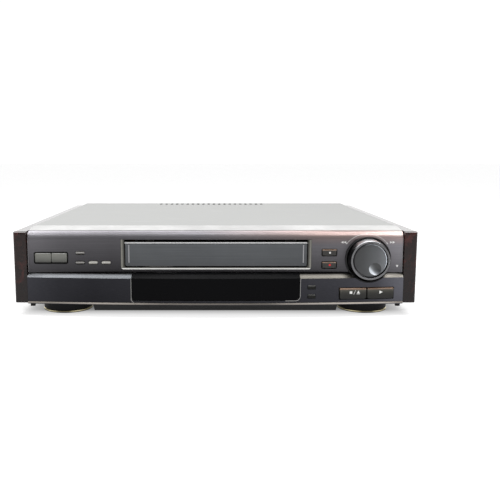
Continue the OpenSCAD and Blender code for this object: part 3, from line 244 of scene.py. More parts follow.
def moulded(name, colour, roughness, edge=0.0003, grain=900.0, specular=0.5):
    """Moulded plastic with a fine spark-eroded grain and slight handling marks."""
    s = Shader(name, colour, 0.0, roughness, specular)
    fine = s.noise(grain, 2.0, 0.6)
    marks = s.noise(26.0, 5.0, 0.65)
    dark = tuple(c * 0.86 for c in colour)
    light = tuple(min(1.0, c * 1.12) for c in colour)
    s.feed("Base Color", s.blend(s.span(marks, 0.35, 0.65), dark, light))
    s.feed("Roughness", s.span(marks, 0.3, 0.7, roughness * 0.88, min(1.0, roughness * 1.15)))
    s.bump(fine, 0.15, GRAINED, edge)
    return s


def sheet_metal(name, colour, roughness, edge=0.0003, spangle=60.0):
    """Rolled and plated steel with a faint crystal pattern."""
    s = Shader(name, colour, 1.0, roughness)
    flakes = s.add("ShaderNodeTexVoronoi")
    flakes.inputs["Scale"].default_value = spangle
    s.link(s.place, flakes.inputs["Vector"])
    cloud = s.noise(9.0, 4.0)
    tone = s.between(0.5, flakes.outputs["Distance"], cloud)
    s.feed("Base Color", s.blend(s.span(tone, 0.2, 0.7), tuple(c * 0.85 for c in colour), colour))
    s.feed("Roughness", s.span(cloud, 0.3, 0.7, roughness * 0.8, roughness * 1.2))
    s.bump(s.noise(400.0, 2.0), 0.08, BRUSHED, edge)
    return s


def bottom_metal():
    """Zinc plated floor whose front edge, under the trim, is darkened with painted shade."""
    s = sheet_metal("bottom_zinc", (0.50, 0.51, 0.51), 0.38)
    _, y, _ = s.axes()
    # Painted shade: the front edge under the trim is darkened to near black
    front = s.span(y, FASCIA_Y + 0.030, FASCIA_Y + 0.029)
    s.feed("Base Color", s.blend(front, s.base(), IN_SHADE))
    return s


def cover_paint():
    """Satin paint of the top cover, with a fine texture, a few rubbed scratches and painted shade towards the
    right.
    """
    s = Shader("cover_paint", (0.30, 0.305, 0.295), 0.35, 0.34, 0.6, 0.25, 0.22)
    cloud = s.noise(5.0, 4.0)
    scratch = s.noise(1.0, 2.0, 0.4, s.stretched((14.0, 260.0, 30.0), (0.0, 0.0, 0.5)), 0.6)
    rubbed = s.span(scratch, 0.72, 0.78)
    paint = s.blend(s.span(cloud, 0.35, 0.65), (0.27, 0.275, 0.265), (0.33, 0.335, 0.325))
    # Painted shade: the lid's colour is a little darker towards the right
    x, _, _ = s.axes()
    across = s.span(x, -0.15, 0.18, 0.975, 0.90)
    s.feed("Base Color", s.scaled(s.blend(rubbed, paint, (0.55, 0.55, 0.54)), across))
    s.feed("Roughness", s.span(cloud, 0.3, 0.7, 0.30, 0.40))
    s.bump(s.noise(1500.0, 2.0, 0.6), 0.12, BRUSHED, 0.0006)
    return s


def fascia_metal():
    """Gunmetal upper fascia: hairline brushing, with painted light: a coppery reflection at the top right,
    highlights on the rolled edge and down the ends, and shade towards the foot and in the wells.
    """
    s = hairline("fascia_metal", (0.088, 0.085, 0.092), 0.34, 0.0005)
    x, y, z = s.axes()
    # Painted reflection: a coppery cast towards the top right
    copper_reflection = s.maths("MULTIPLY", s.span(x, -0.02, 0.12), s.span(z, 0.082, 0.094))
    reflection_toned = s.blend(s.maths("MULTIPLY", copper_reflection, 0.8), s.base(), (0.115, 0.082, 0.074))
    # Painted highlight: gains on the colour of the rolled edge by how far it looks up, at the left and at the
    # right
    up = s.upward()
    left = s.curve(up, [
        (0.0, 1.0), (0.03, 1.2), (0.165, 2.1), (0.29, 3.1), (0.41, 3.5), (0.53, 2.3), (0.64, 0.95),
        (0.75, 0.88), (0.86, 2.4), (0.94, 6.8), (1.0, 5.2)])
    right = s.curve(up, [
        (0.0, 1.0), (0.03, 1.3), (0.165, 2.3), (0.29, 2.8), (0.41, 3.4), (0.53, 3.9), (0.64, 1.25),
        (0.75, 1.1), (0.86, 2.6), (0.94, 2.7), (1.0, 4.3)])
    rolled = s.between(s.span(x, 0.085, 0.14), left, right)
    # Painted light and shade: the fascia's colour is lighter towards its ends, most so at the right, and darker
    # towards its foot
    across = s.curve(x, [
        (-0.215, 1.12), (-0.18, 0.84), (-0.12, 0.68), (-0.05, 0.78), (0.06, 0.9), (0.13, 1.15),
        (0.165, 1.2), (0.192, 1.7), (0.215, 2.3)])
    down = s.span(z, 0.053, 0.089, 0.5, 1.3)
    lit = s.scaled(reflection_toned, s.maths("MULTIPLY", s.maths("MULTIPLY", rolled, across), down))
    # Painted highlight: a light line down each end of the fascia
    ends = s.span(s.maths("ABSOLUTE", x), BODY_HALF - 0.0007, BODY_HALF - 0.0004, 0.0, 0.6)
    # Painted shade: what lies behind the face, below the rolled edge, is the inside of a well, darkened to near
    # black
    deep = s.span(y, FASCIA_Y + 0.0007, FASCIA_Y + 0.0011)
    well = s.maths("MULTIPLY", deep, s.span(z, 0.080, 0.079))
    s.feed("Base Color", s.blend(well, s.blend(ends, lit, (0.35, 0.34, 0.35)), IN_SHADE))
    return s


def lower_metal(name, ledge_reflection_tone):
    """Dark brushed lower front, with painted light on its face and a lighter, slightly coloured painted
    reflection on its ledge.
    """
    s = hairline(name, (0.030, 0.030, 0.035), 0.33, 0.0004)
    x, _, z = s.axes()
    # Painted light and shade: the face's colour is lighter towards its ends, most so at the right, and lighter
    # towards its top
    across = s.curve(x, [
        (-0.215, 1.05), (-0.18, 0.66), (-0.14, 0.55), (-0.1, 0.66), (0.1, 0.9), (0.15, 1.12),
        (0.185, 1.4), (0.207, 2.6), (0.215, 2.8)])
    face = s.scaled(s.base(), s.maths("MULTIPLY", across, s.span(z, 0.02, 0.045, 0.85, 1.15)))
    ledge = s.maths("MULTIPLY", s.span(s.upward(), 0.5, 0.9), s.span(z, 0.044, 0.0455))
    # Painted reflection: the ledge's colour grows lighter towards the ends and down its slope, short of its
    # front edge
    along = s.curve(x, [(-0.215, 1.9), (-0.185, 1.2), (-0.13, 0.95), (0.13, 0.95), (0.2, 1.9), (0.215, 2.2)])
    slope = s.curve(z, [(0.0463, 0.68), (0.0474, 0.82), (0.0484, 0.74), (0.0496, 0.25)])
    s.feed("Base Color", s.blend(ledge, face, s.scaled(ledge_reflection_tone, s.maths("MULTIPLY", along, slope))))
    return s


def rosewood():
    """Glossy lacquered rosewood: near-black with red-brown figure run along the cheek."""
    s = Shader("rosewood", (0.02, 0.008, 0.007), 0.0, 0.28, 0.10, 0.2, 0.05)
    s.feed("Coat Weight", s.span(s.upward(), 0.3, 0.9, 0.16, 1.0))
    s.set("Coat IOR", 1.8)
    wide = s.noise(1.0, 5.0, 0.6, s.stretched((60.0, 3.5, 34.0)), 1.6)
    fine = s.noise(1.0, 6.0, 0.75, s.stretched((420.0, 14.0, 300.0)), 0.4)
    figure = s.between(0.25, wide, fine)
    dark = s.blend(s.span(fine, 0.35, 0.6), (0.006, 0.003, 0.003), (0.018, 0.008, 0.007))
    stained = s.blend(s.span(figure, 0.50, 0.68), dark, (0.065, 0.016, 0.013))
    _, _, z = s.axes()
    # Painted shade: the wood's colour is darker towards the bottom and lighter towards the top
    s.feed("Base Color", s.scaled(stained, s.span(z, 0.02, 0.08, 0.5, 1.15)))
    s.feed("Roughness", s.span(fine, 0.3, 0.7, 0.22, 0.34))
    s.bump(fine, 0.05, GRAINED, 0.0012)
    return s


def window_acrylic():
    """Smoked acrylic: black, glossy, with a trace of dust."""
    black = (0.003, 0.003, 0.0035)
    s = Shader("window_acrylic", black, 0.0, 0.08, 0.025)
    dust = s.noise(700.0, 2.0, 0.7)
    s.feed("Base Color", s.blend(s.span(dust, 0.70, 0.76), black, (0.012, 0.012, 0.012)))
    s.feed("Roughness", s.span(s.noise(18.0, 3.0), 0.3, 0.7, 0.05, 0.12))
    s.bump(s.noise(12.0, 2.0), 0.03, 0.0002, 0.0004)
    return s


def display_glass():
    """The unlit display tube: dark green-grey with a fine segment mesh."""
    s = Shader("display_glass", (0.02, 0.03, 0.028), 0.0, 0.1, 0.5, 1.0, 0.02)
    mesh = s.add("ShaderNodeTexChecker")
    mesh.inputs["Scale"].default_value = 2200.0
    s.link(s.place, mesh.inputs["Vector"])
    s.feed("Base Color", s.blend(mesh.outputs["Fac"], (0.018, 0.026, 0.024), (0.03, 0.042, 0.038)))
    return s


def polished_gold():
    """Gold-plated ring with faint turning lines, and a painted reflection that makes it bright."""
    s = Shader("polished_gold", (0.83, 0.60, 0.26), 1.0, 0.12)
    turning = s.noise(1.0, 2.0, 0.6, s.stretched((40.0, 40.0, 3000.0)))
    x, _, z = s.axes()
    # Painted reflection and shade: the ring's colour is bright on both flanks, and dark at its middle and its
    # foot
    aside = s.maths("ABSOLUTE", s.maths("SUBTRACT", s.maths("ABSOLUTE", x), FOOT_X))
    flank = s.curve(aside, [(0.0, 0.16), (0.006, 0.2), (0.013, 0.95), (0.018, 1.0), (0.024, 0.55), (0.03, 0.8)])
    foot = s.span(z, 0.0018, 0.0026, 0.10, 1.0)
    tone = s.blend(s.span(turning, 0.35, 0.65), (0.80, 0.68, 0.38), (0.98, 0.90, 0.62))
    s.feed("Base Color", s.scaled(tone, s.maths("MULTIPLY", flank, foot)))
    s.feed("Roughness", s.span(turning, 0.3, 0.7, 0.09, 0.18))
    s.bump(turning, 0.05, POLISHED, 0.0002)
    return s


def circuit_board(name, colour):
    """Solder mask over fine tracks, with scattered pads."""
    s = Shader(name, colour, 0.0, 0.38)
    tracks = s.add("ShaderNodeTexWave", wave_type="BANDS", bands_direction="DIAGONAL")
    tracks.inputs["Scale"].default_value = 210.0
    tracks.inputs["Distortion"].default_value = 7.0
    s.link(s.place, tracks.inputs["Vector"])
    pads = s.add("ShaderNodeTexVoronoi")
    pads.inputs["Scale"].default_value = 260.0
    s.link(s.place, pads.inputs["Vector"])
    light = tuple(min(1.0, c * 1.7) for c in colour)
    base = s.blend(s.span(tracks.outputs["Fac"], 0.55, 0.7), colour, light)
    s.feed("Base Color", s.blend(s.span(pads.outputs["Distance"], 0.16, 0.12), base, (0.55, 0.55, 0.52)))
    s.bump(tracks.outputs["Fac"], 0.2, GRAINED)
    return s


def turned_metal(name, colour, roughness, centre_x, behind):
    """Metal turned on a lathe: rings about an upright axis at centre_x, some way behind the fascia."""
    s = Shader(name, colour, 1.0, roughness)
    x, y, _ = s.axes()
    dx = s.maths("SUBTRACT", x, centre_x)
    dy = s.maths("SUBTRACT", y, FASCIA_Y + behind)
    radius = s.maths("SQRT", s.maths("ADD", s.maths("MULTIPLY", dx, dx), s.maths("MULTIPLY", dy, dy)))
    rings = s.maths("SINE", s.maths("MULTIPLY", radius, 9000.0))
    s.feed("Base Color", s.blend(s.span(rings, -1.0, 1.0), tuple(c * 0.85 for c in colour), colour))
    s.bump(rings, 0.08, POLISHED, 0.0002)
    return s


# Painted shade: shares of a key's tone, by mm from its upper edge
EVEN_KEY_SHADE = ((-9.0, 0.8), (-1.3, 1.15))


def key_plastic(name, colour, top_highlight, z_top, depth, shade=EVEN_KEY_SHADE, specular=0.5):
    """Key moulding with painted shade by (mm from its upper edge, share), and a painted highlight along that
    edge.
    """
    s = moulded(name, colour, 0.34, 0.0006, 1200.0, specular)
    _, _, z = s.axes()
    face = s.scaled(s.base(), s.curve(z, [(z_top + place * MM, share) for place, share in shade]))
    # Painted highlight along the key's upper edge
    rim_highlight = s.span(z, z_top - depth * MM, z_top - 0.3 * MM)
    s.feed("Base Color", s.blend(rim_highlight, face, top_highlight))
    return s


def oval_plastic(name, colour, line, specular):
    """Oval key with a painted highlight along the middle of its domed face."""
    s = moulded(name, colour, 0.36, 0.0006, 1200.0, specular)
    _, _, z = s.axes()
    # Painted highlight: one crest on the row of three keys and one on the key above it
    crest = s.curve(z, [
        (0.0611, 0.0), (0.0618, 1.0), (0.0627, 1.0), (0.0633, 0.0),
        (0.0727, 0.0), (0.0733, 1.0), (0.0743, 1.0), (0.0748, 0.0)])
    s.feed("Base Color", s.blend(crest, s.base(), line))
    return s


def lined_metal(name, colour, line, z_low, z_high, fade):
    """Brushed metal with a painted highlight from z_low to z_high."""
    s = hairline(name, colour, 0.34)
    _, _, z = s.axes()
    inside = s.maths("MULTIPLY", s.span(z, z_low - fade, z_low), s.span(z, z_high + fade, z_high))
    s.feed("Base Color", s.blend(inside, s.base(), line))
    return s


def slot_metal():
    """The slot's frame, with painted light: a light bevel outside, a darker one inside and a painted highlight
    along the foot.
    """
    s = lined_metal("slot_trim_metal", (0.105, 0.103, 0.092), (0.62, 0.62, 0.60), 0.0539, 0.0553, 0.0006)
    x, _, z = s.axes()
    # Painted light and shade: above the foot, the frame is lighter on its outer bevel and darker on its inner
    # one
    bevels = s.curve(s.maths("ABSOLUTE", s.maths("SUBTRACT", x, SLOT_X)), [
        (0.1058, 0.5), (0.1074, 0.7), (0.1080, 1.5), (0.1094, 1.9), (0.1099, 1.3)])
    above_foot = s.span(z, 0.0560, 0.0566)
    s.feed("Base Color", s.scaled(s.base(), s.between(above_foot, 1.0, bevels)))
    return s


def flap_metal():
    """Brushed flap with a painted highlight along its top edge and on the crest of the rib near each end, and
    painted light on its face.
    """
    s = lined_metal("flap_metal", (0.082, 0.086, 0.091), (0.95, 0.95, 0.95), 0.0846, 0.090, 0.0004)
    _, y, z = s.axes()
    # Painted highlight on the crest of the rib near each end
    proud = s.span(y, FASCIA_Y + 0.0014, FASCIA_Y + 0.0011)
    crest = s.maths("MULTIPLY", proud, s.span(z, 0.0612, 0.0606, 1.0, 0.0))
    # Painted light: the face's colour is lighter towards the top
    face = s.scaled(s.base(), s.span(z, 0.058, 0.083, 0.85, 1.12))
    s.feed("Base Color", s.blend(crest, face, (0.30, 0.30, 0.31)))
    return s


def floor_paper():
    """Pale paper with a glow, as a lit table gives, raised before the machine as painted light and weakened as
    painted shadow where the machine shades it.
    """
    s = moulded("studio_paper", (0.45, 0.45, 0.45), 0.9, 0.0, 300.0, 0.1)
    s.set("Emission Color", (*WHITE, 1.0))
    x, y, _ = s.axes()
    away, under = 0.74, 0.16
    # Painted light and shadow in the glow, from before the machine, under its front edge and underside, to
    # behind it
    shaded = s.curve(y, [
        (-0.26, away), (-0.2, 0.82), (-0.186, 0.86), (-0.178, 0.8), (-0.170, 0.66), (-0.164, 0.55),
        (-0.159, 0.48), (-0.154, 0.26), (-0.14, under), (0.16, under), (0.21, away)])
    beside = s.span(s.maths("ABSOLUTE", x), 0.20, 0.245)
    s.feed("Emission Strength", s.between(beside, shaded, away))
    return s


def foot_trim():
    """Champagne strip along the foot of the bow, with painted light and shade that darken it under the window.
    """
    s = hairline("champagne_trim", (0.34, 0.31, 0.28), 0.30, 0.0002)
    x, _, _ = s.axes()
    # Painted light and shade: the strip's colour changes along it, darkest under the window
    across = s.curve(x, [
        (-0.215, 0.55), (-0.185, 0.45), (-0.136, 0.85), (-0.108, 0.72), (-0.06, 0.36), (0.06, 0.3), (0.1, 0.7),
        (0.14, 1.0), (0.19, 1.0), (0.215, 0.55)])
    s.feed("Base Color", s.scaled(s.base(), across))
    return s


def dial_plastic():
    """Grained plastic disc with painted light: lighter from left to right, and in its dimple towards the upper
    right.
    """
    s = moulded("dial_plastic", (0.052, 0.055, 0.059), 0.34, 0.0005, 1300.0)
    x, _, _ = s.axes()
    # Painted light: the disc's colour grows lighter from left to right
    across = s.curve(s.maths("SUBTRACT", x, DIAL_X), [
        (-0.019, 0.35), (-0.008, 0.65), (0.0, 1.05), (0.008, 1.55), (0.015, 2.5), (0.019, 2.8)])
    # Painted light by how far the surface faces the upper right; the last two stops are for the disc's flank,
    # which is not lighter than its face
    painted_light_facing = s.curve(s.towards(*PAINTED_LIGHT_SIDE), [
        (-0.5, 0.2), (-0.2, 0.35), (0.0, 1.0), (0.2, 3.0), (0.42, 13.0), (0.7, 12.0), (0.86, 1.0), (1.0, 0.6)])
    s.feed("Base Color", s.scaled(s.base(), s.maths("MULTIPLY", across, painted_light_facing)))
    return s


def dial_ring():
    """Satin ring whose bevel has a painted highlight where it faces up and to the right."""
    s = hairline("dial_ring_metal", (0.13, 0.13, 0.135), 0.26, 0.0004)
    # Painted highlight: the bevel's colour is lighter where it faces up and to the right
    painted_light_facing = s.curve(s.towards(*PAINTED_LIGHT_SIDE), [
        (-0.5, 0.15), (-0.2, 0.35), (0.0, 1.0), (0.25, 1.6), (0.5, 4.0), (0.74, 3.6), (0.86, 0.9), (1.0, 0.6)])
    s.feed("Base Color", s.scaled(s.base(), painted_light_facing))
    return s


# ---------- Pieces made here ----------


def placed(name, data):
    """An object that holds the given mesh, light or camera, linked to the scene."""
    thing = bpy.data.objects.new(name, data)
    bpy.context.scene.collection.objects.link(thing)
    return thing


def as_object(name, bm, shader):
    """Turns built faces into a piece with one material."""
    mesh = bpy.data.meshes.new(name)
    bmesh.ops.recalc_face_normals(bm, faces=bm.faces)
    bm.to_mesh(mesh)
    bm.free()
    mesh.materials.append(shader.material)
    return placed(name, mesh)


def prism(bm, outline, y_front, depth):
    """A front view (x, z in mm) given depth in mm behind y_front, which is a function of x and z."""
    front = [bm.verts.new((x * MM, FASCIA_Y + y_front(x, z) * MM, z * MM)) for x, z in outline]
    back = [bm.verts.new((x * MM, FASCIA_Y + (y_front(x, z) + depth) * MM, z * MM)) for x, z in outline]
    bm.faces.new(front)
    bm.faces.new(back[::-1])
    for n in range(len(outline)):
        m = (n + 1) % len(outline)
        bm.faces.new((front[m], front[n], back[n], back[m]))


def arc_points(cx, cz, r, start, end, steps):
    """Points on a circle from start to end, in degrees from +X towards +Z."""
    angles = [math.radians(start + (end - start) * n / steps) for n in range(steps + 1)]
    return [(cx + r * math.cos(a), cz + r * math.sin(a)) for a in angles]


def rect(x0, x1, z0, z1):
    """A flat rectangle given by its two corners."""
    return [(x0, z0), (x1, z0), (x1, z1), (x0, z1)]


def triangle(cx, cz, size, heading):
    """A solid arrowhead about a place, heading in degrees from +X towards +Z."""
    angles = [math.radians(heading + turn) for turn in (0, 125, 235)]
    return [(cx + size * math.cos(a), cz + size * math.sin(a)) for a in angles]


# Radius of the bowed lower front and the reach of its middle before the upper fascia, in mm
BOW_R = 2062.5
BOW_FRONT = 17.5


def bow_y(x, proud):
    """Place of a face that stands out of the bowed lower front at x, in mm from the upper fascia."""
    return BOW_R - BOW_FRONT - math.sqrt(BOW_R ** 2 - x ** 2) - proud


# ---------- Finishes on the CAD nodes ----------

PAINT = cover_paint()
STRIP = moulded("strip_plastic", (0.465, 0.465, 0.46), 0.42, 0.0006)
FASCIA = fascia_metal()
LOWER = lower_metal("lower_metal", (0.165, 0.155, 0.135))
DOOR = lower_metal("door_metal", (0.155, 0.162, 0.172))
TRIM = foot_trim()
WINDOW = window_acrylic()
TUBE = display_glass()
SLOT_TRIM = slot_metal()
FLAP = flap_metal()
WOOD = rosewood()
RUBBER = moulded("rubber", (0.012, 0.012, 0.012), 0.75, 0.0006, 500.0, 0.3)
FOOT = moulded("foot_plastic", (0.009, 0.009, 0.0095), 0.5, 0.0006, 900.0, 0.08)
GOLD = polished_gold()

# The heights are those of the keys' upper edges, which get painted highlights; the stops give painted shade
# below them
KEY_POWER = key_plastic("key_power", (0.105, 0.106, 0.094), (0.27, 0.27, 0.255), 0.0729, 0.9,
                        ((-10.5, 0.35), (-8.5, 0.72), (-6.0, 1.1), (-3.5, 1.35), (-1.5, 1.45)))
PAUSE_TONE, COPPER_HIGHLIGHT = (0.014, 0.0125, 0.0105), (0.26, 0.17, 0.12)
KEY_PAUSE = key_plastic("key_pause", PAUSE_TONE, COPPER_HIGHLIGHT, 0.0772, 1.4)
KEY_RECORD = key_plastic("key_record", PAUSE_TONE, COPPER_HIGHLIGHT, 0.0626, 1.4)
SMALL_KEY, SMALL_EDGE_HIGHLIGHT = (0.012, 0.012, 0.011), (0.16, 0.16, 0.155)
KEY_SLOT_UPPER = key_plastic("key_slot_upper", SMALL_KEY, SMALL_EDGE_HIGHLIGHT, 0.0378, 0.6, specular=0.1)
KEY_SLOT_LOWER = key_plastic("key_slot_lower", SMALL_KEY, SMALL_EDGE_HIGHLIGHT, 0.0272, 0.6, specular=0.1)
KEY_OVAL_DARK = oval_plastic("key_oval_dark", (0.025, 0.023, 0.020), (0.30, 0.29, 0.28), 0.3)
KEY_OVAL = oval_plastic("key_oval_grey", (0.20, 0.19, 0.17), (0.50, 0.49, 0.46), 0.5)
KEY_STOP = key_plastic("key_stop", (0.042, 0.040, 0.032), (0.30, 0.19, 0.13), 0.0342, 1.9,
                       ((-11.5, 0.12), (-8.5, 0.22), (-6.0, 0.38), (-4.0, 0.75), (-2.0, 1.5)), 0.3)

DIAL = dial_plastic()
DIAL_RING = dial_ring()
DIAL_BASE = moulded("dial_base_plastic", (0.010, 0.010, 0.011), 0.5, 0.0004)
BLACK = moulded("black_plastic", (0.010, 0.010, 0.0105), 0.48, 0.0003, 900.0, 0.3)
ZINC = sheet_metal("zinc_steel", (0.52, 0.53, 0.53), 0.36)
BOTTOM = bottom_metal()
REAR = sheet_metal("painted_rear_steel", (0.07, 0.07, 0.072), 0.5)
TIN = sheet_metal("tinned_can", (0.62, 0.62, 0.60), 0.25)
CHASSIS = sheet_metal("deck_chassis", (0.47, 0.47, 0.45), 0.38, 0.0003, 90.0)
BOARD_MAIN = circuit_board("board_green", (0.020, 0.115, 0.050))
BOARD_POWER = circuit_board("board_tan", (0.22, 0.125, 0.045))
REEL = moulded("reel_plastic", (0.55, 0.54, 0.50), 0.4)
SPRING = sheet_metal("spring_steel", (0.6, 0.6, 0.6), 0.22, 0.0001)
SOCKETS = moulded("socket_body", (0.05, 0.05, 0.052), 0.4)
SLEEVE = hairline("socket_plating", (0.75, 0.68, 0.48), 0.2, 0.0002)
DRUM = turned_metal("drum_metal", (0.78, 0.78, 0.79), 0.12, SLOT_X, DRUM_BEHIND)
CAPSTAN = turned_metal("capstan_steel", (0.72, 0.72, 0.72), 0.1, CAPSTAN_X, CAPSTAN_BEHIND)

FINISH = {
    "top_cover": PAINT, "front_bezel": STRIP, "upper_fascia": FASCIA, "lower_fascia": LOWER,
    "control_door": DOOR, "door_trim": TRIM, "base_trim": TRIM, "display_window": WINDOW,
    "display_tube": TUBE, "slot_trim": SLOT_TRIM, "cassette_flap": FLAP, "flap_spring": SPRING,
    "wood_cheek_left": WOOD, "wood_cheek_right": WOOD, "front_feet": FOOT, "foot_rings": GOLD,
    "foot_pads": RUBBER, "rear_feet": FOOT, "base_skirt": BLACK, "cover_screws": ZINC,
    "operate_key": KEY_POWER, "timer_key": KEY_POWER, "oval_key_1": KEY_OVAL_DARK,
    "oval_key_2": KEY_OVAL_DARK, "oval_key_3": KEY_OVAL, "oval_key_4": KEY_OVAL,
    "pause_key": KEY_PAUSE, "record_key": KEY_RECORD, "stop_key": KEY_STOP, "play_key": KEY_STOP,
    "slot_key_upper": KEY_SLOT_UPPER, "slot_key_lower": KEY_SLOT_LOWER, "dial_base": DIAL_BASE,
    "dial_encoder": ZINC, "shuttle_ring": DIAL_RING, "jog_dial": DIAL, "mains_inlet": BLACK,
    "scart_sockets": SOCKETS, "phono_sockets": SLEEVE, "av_panel": BLACK, "av_sockets": SLEEVE,
    "tuner_can": TIN, "main_board": BOARD_MAIN, "power_board": BOARD_POWER,
    "front_board": BOARD_MAIN, "key_board": BOARD_MAIN, "deck_plate": CHASSIS, "drum_lower": DRUM,
    "drum_upper": DRUM, "capstan": CAPSTAN, "pinch_arm": CHASSIS, "pinch_roller": RUBBER,
    "supply_reel": REEL, "takeup_reel": REEL, "loading_posts": CAPSTAN, "lift_slides": CHASSIS,
    "cassette_holder": CHASSIS, "bottom_cover": BOTTOM, "main_frame": ZINC, "rear_panel": REAR,
}

for node_name, cad_node in NODES.items():
    for place in cad_node.material_slots:
        place.material = FINISH[node_name].material


# ---------- Printed marks and thin painted highlight lines ---

PRINT_WHITE = moulded("print_white", (0.78, 0.78, 0.76), 0.5, 0.0)
PRINT_RED = moulded("print_red", (0.75, 0.010, 0.012), 0.45, 0.0)
PAINTED_EDGE_HIGHLIGHT = hairline("painted_edge_highlight", (0.22, 0.215, 0.21), 0.3, 0.0001)

# Thickness of a print, and how much of it stands out of the surface, in mm
PRINT_T = 0.06
PRINT_PROUD = PRINT_T * 0.8


def printed(name, body, shader, outlines, y_front):
    """Thin flat prints, one piece for all the outlines, that stand a little out of the surface."""
    bm = bmesh.new()
    for outline in outlines:
        prism(bm, outline, y_front, PRINT_T)
    piece = as_object(name, bm, shader)
    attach(piece, body)


# Places of the stop and play signs on their keys, and how far these keys stand out of the bow, in mm
STOP_X, PLAY_X, PLAY_Z = 159.4, 189.8, 29.2
PLAY_KEY_PROUD = 2.0


def key_face(x, z):
    """Face of a print on the stop key or the play key."""
    return bow_y(x, PLAY_KEY_PROUD + PRINT_PROUD)


# Stop and eject on one key: a square, a slash, and a triangle over a bar
printed("mark_stop", "stop", PRINT_WHITE, [
    rect(STOP_X - 5.7, STOP_X - 2.7, PLAY_Z - 1.2, PLAY_Z + 1.8),
    [(STOP_X - 1.2, PLAY_Z - 2.2), (STOP_X - 0.8, PLAY_Z - 2.2),
     (STOP_X + 1.2, PLAY_Z + 2.8), (STOP_X + 0.8, PLAY_Z + 2.8)],
    triangle(STOP_X + 4.4, PLAY_Z + 0.6, 2.0, 90),
    rect(STOP_X + 2.6, STOP_X + 6.2, PLAY_Z - 1.7, PLAY_Z - 1.1),
], key_face)
printed("mark_play", "play", PRINT_WHITE, [triangle(PLAY_X, PLAY_Z + 0.3, 2.4, 0)], key_face)

# A round dot on the pause key and a red one on the record key, in the hollow of each key's face
PAUSE_X, PAUSE_Z, RECORD_Z = 131.74, 73.7, 59.4
PAUSE_FACE, HOLLOW_R, HOLLOW_T = -1.6, 38.5, 0.5


def hollow_face(x, z):
    """Face of a print in the hollow of the pause key or the record key."""
    hollow = PAUSE_FACE + HOLLOW_T - HOLLOW_R + math.sqrt(HOLLOW_R ** 2 - (x - PAUSE_X) ** 2)
    return hollow - PRINT_PROUD


def dot(cx, cz, r):
    """A disc of 24 sides."""
    return arc_points(cx, cz, r, 0, 345, 23)


printed("mark_pause", "pause", PRINT_WHITE, [dot(PAUSE_X + 0.5, PAUSE_Z, 1.15)], hollow_face)
printed("mark_record", "record", PRINT_RED, [dot(PAUSE_X + 0.6, RECORD_Z, 1.25)], hollow_face)

# The shuttle's arc runs round the upper half of the ring, over the rolled edge, with a tick at the top
ARC_X, ARC_Z, ARC_R = 174.9, 64.6, 30.6
ARC_FROM, ARC_TO, ARC_STEPS = 40, 140, 50
ROLL_Z, ROLL_R = 89.2, 9.0


def fascia_face(x, z):
    """Face of a print on the flat of the fascia, or on the rolled edge above it."""
    rise = min(max(z - ROLL_Z, 0.0), ROLL_R - 0.1)
    return ROLL_R - math.sqrt(ROLL_R ** 2 - rise ** 2) - PRINT_PROUD


def arc_strip(start, end, steps, half):
    """A strip along the shuttle's arc, cut into short flat pieces, half being half its width."""
    inner = arc_points(ARC_X, ARC_Z, ARC_R - half, start, end, steps)
    outer = arc_points(ARC_X, ARC_Z, ARC_R + half, start, end, steps)
    return [[inner[n], inner[n + 1], outer[n + 1], outer[n]] for n in range(steps)]


arc_marks = arc_strip(ARC_FROM, ARC_TO, ARC_STEPS, 0.2) + arc_strip(89.4, 90.6, 1, 0.8)
for turn, heading in ((ARC_FROM, -50), (ARC_TO, 230)):
    end = arc_points(ARC_X, ARC_Z, ARC_R, turn, turn, 1)[0]
    arc_marks.append(triangle(end[0], end[1], 1.2, heading))
printed("mark_shuttle_arc", "root", PRINT_WHITE, arc_marks, fascia_face)

# Double arrowheads at both ends of the arc, and a small one pointing down at the right
ARROW_Z, ARROW_SIZE = 85.7, 1.8
printed("mark_arrows", "root", PRINT_WHITE,
        [triangle(x, ARROW_Z, ARROW_SIZE, heading)
         for x, heading in ((146.6, 180), (149.6, 180), (202.3, 0), (205.3, 0))]
        + [triangle(210.5, 58.1, ARROW_SIZE, 270)], fascia_face)


# ---------- Painted highlight lines along cut edges ---

# Half the width of a painted highlight line, and how far it stands out of the bow, in mm
EDGE_HALF = 0.3
EDGE_PROUD = 0.05


def edge_face(x, z):
    """Face of a painted highlight line on the bowed front."""
    return bow_y(x, EDGE_PROUD)


def painted_highlight_line(name, body, points):
    """A thin painted highlight line along the given places on the bowed front."""
    bm = bmesh.new()
    for (xa, za), (xb, zb) in zip(points, points[1:]):
        length = math.hypot(xb - xa, zb - za)
        ox, oz = -(zb - za) / length * EDGE_HALF, (xb - xa) / length * EDGE_HALF
        prism(bm, [(xa - ox, za - oz), (xb - ox, zb - oz), (xb + ox, zb + oz), (xa + ox, za + oz)],
              edge_face, PRINT_T)
    piece = as_object(name, bm, PAINTED_EDGE_HIGHLIGHT)
    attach(piece, body)


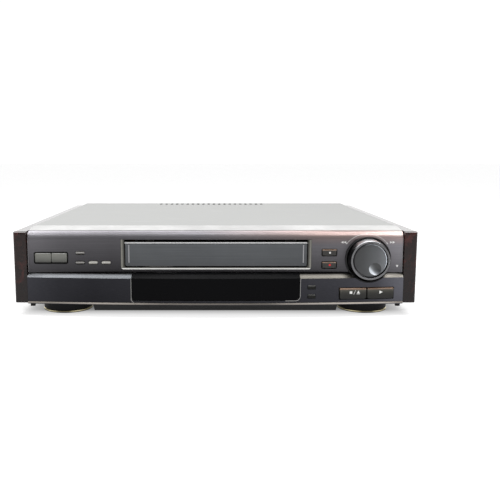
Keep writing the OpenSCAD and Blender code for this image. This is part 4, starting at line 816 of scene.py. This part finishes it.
# Painted highlights round the slanted end of the door, and down the window's right edge and round its lower
# corner
EDGE_TOP, EDGE_FOOT = 45.6, 20.2
WINDOW_RIGHT, WINDOW_R = 97.1, 5.5
corner = arc_points(WINDOW_RIGHT - WINDOW_R, EDGE_FOOT + WINDOW_R, WINDOW_R, 0, -90, 10)
painted_highlight_line("door_edge_highlight", "door", [(-96.3, EDGE_TOP), (-96.3, 20.9), (-93.6, 17.9)])
painted_highlight_line("window_edge_highlight", "root", [(WINDOW_RIGHT, EDGE_TOP)] + corner + [(80.0, EDGE_FOOT)])


# ---------- Stage, camera and light ----------

# A wide sheet of paper under the machine, in metres
floor = bpy.data.meshes.new("studio_floor")
floor.from_pydata([(-6, -6, 0), (6, -6, 0), (6, 9, 0), (-6, 9, 0)], [], [(0, 1, 2, 3)])
floor.materials.append(floor_paper().material)
piece = placed("studio_floor", floor)

# The photograph's own view: place and pitch of the camera, its lens and its sideways shift
camera = placed("camera", bpy.data.cameras.new("camera"))
camera.location = (-0.0058, -0.95485, 0.1902)
camera.rotation_euler = (math.radians(81.684), 0.0, 0.0)
camera.data.sensor_width = 36.0
camera.data.lens = 48.96
camera.data.shift_x = 0.0794

scene = bpy.context.scene
scene.camera = camera
scene.view_settings.view_transform = "Standard"

# A white backdrop behind the machine and a dimmer room in front of it
scene.world = bpy.data.worlds.new("studio")
scene.world.use_nodes = True
sky = scene.world.node_tree
backdrop = sky.nodes["Background"]
direction = sky.nodes.new("ShaderNodeSeparateXYZ")
depth = sky.nodes.new("ShaderNodeMapRange")
depth.interpolation_type = "SMOOTHSTEP"
for key, number in (("From Min", 0.2), ("From Max", 0.8), ("To Min", 0.34), ("To Max", 1.06)):
    depth.inputs[key].default_value = number
sky.links.new(sky.nodes.new("ShaderNodeTexCoord").outputs["Generated"], direction.inputs["Vector"])
sky.links.new(direction.outputs["Y"], depth.inputs["Value"])
sky.links.new(depth.outputs["Result"], backdrop.inputs["Strength"])
backdrop.inputs["Color"].default_value = (*WHITE, 1.0)

# A long strip overhead draws the light line along the ledge and the rolled edge
strip = bpy.data.lights.new("strip_above", "AREA")
strip.shape = "RECTANGLE"
strip.size, strip.size_y = 2.4, 0.7
strip.energy = 34.0
lamp = placed("strip_above", strip)
lamp.location = (0.0, -0.28, 1.35)
lit_place = Vector((0.0, -0.17, 0.05))
lamp.rotation_euler = (lit_place - lamp.location).to_track_quat("-Z", "Y").to_euler()
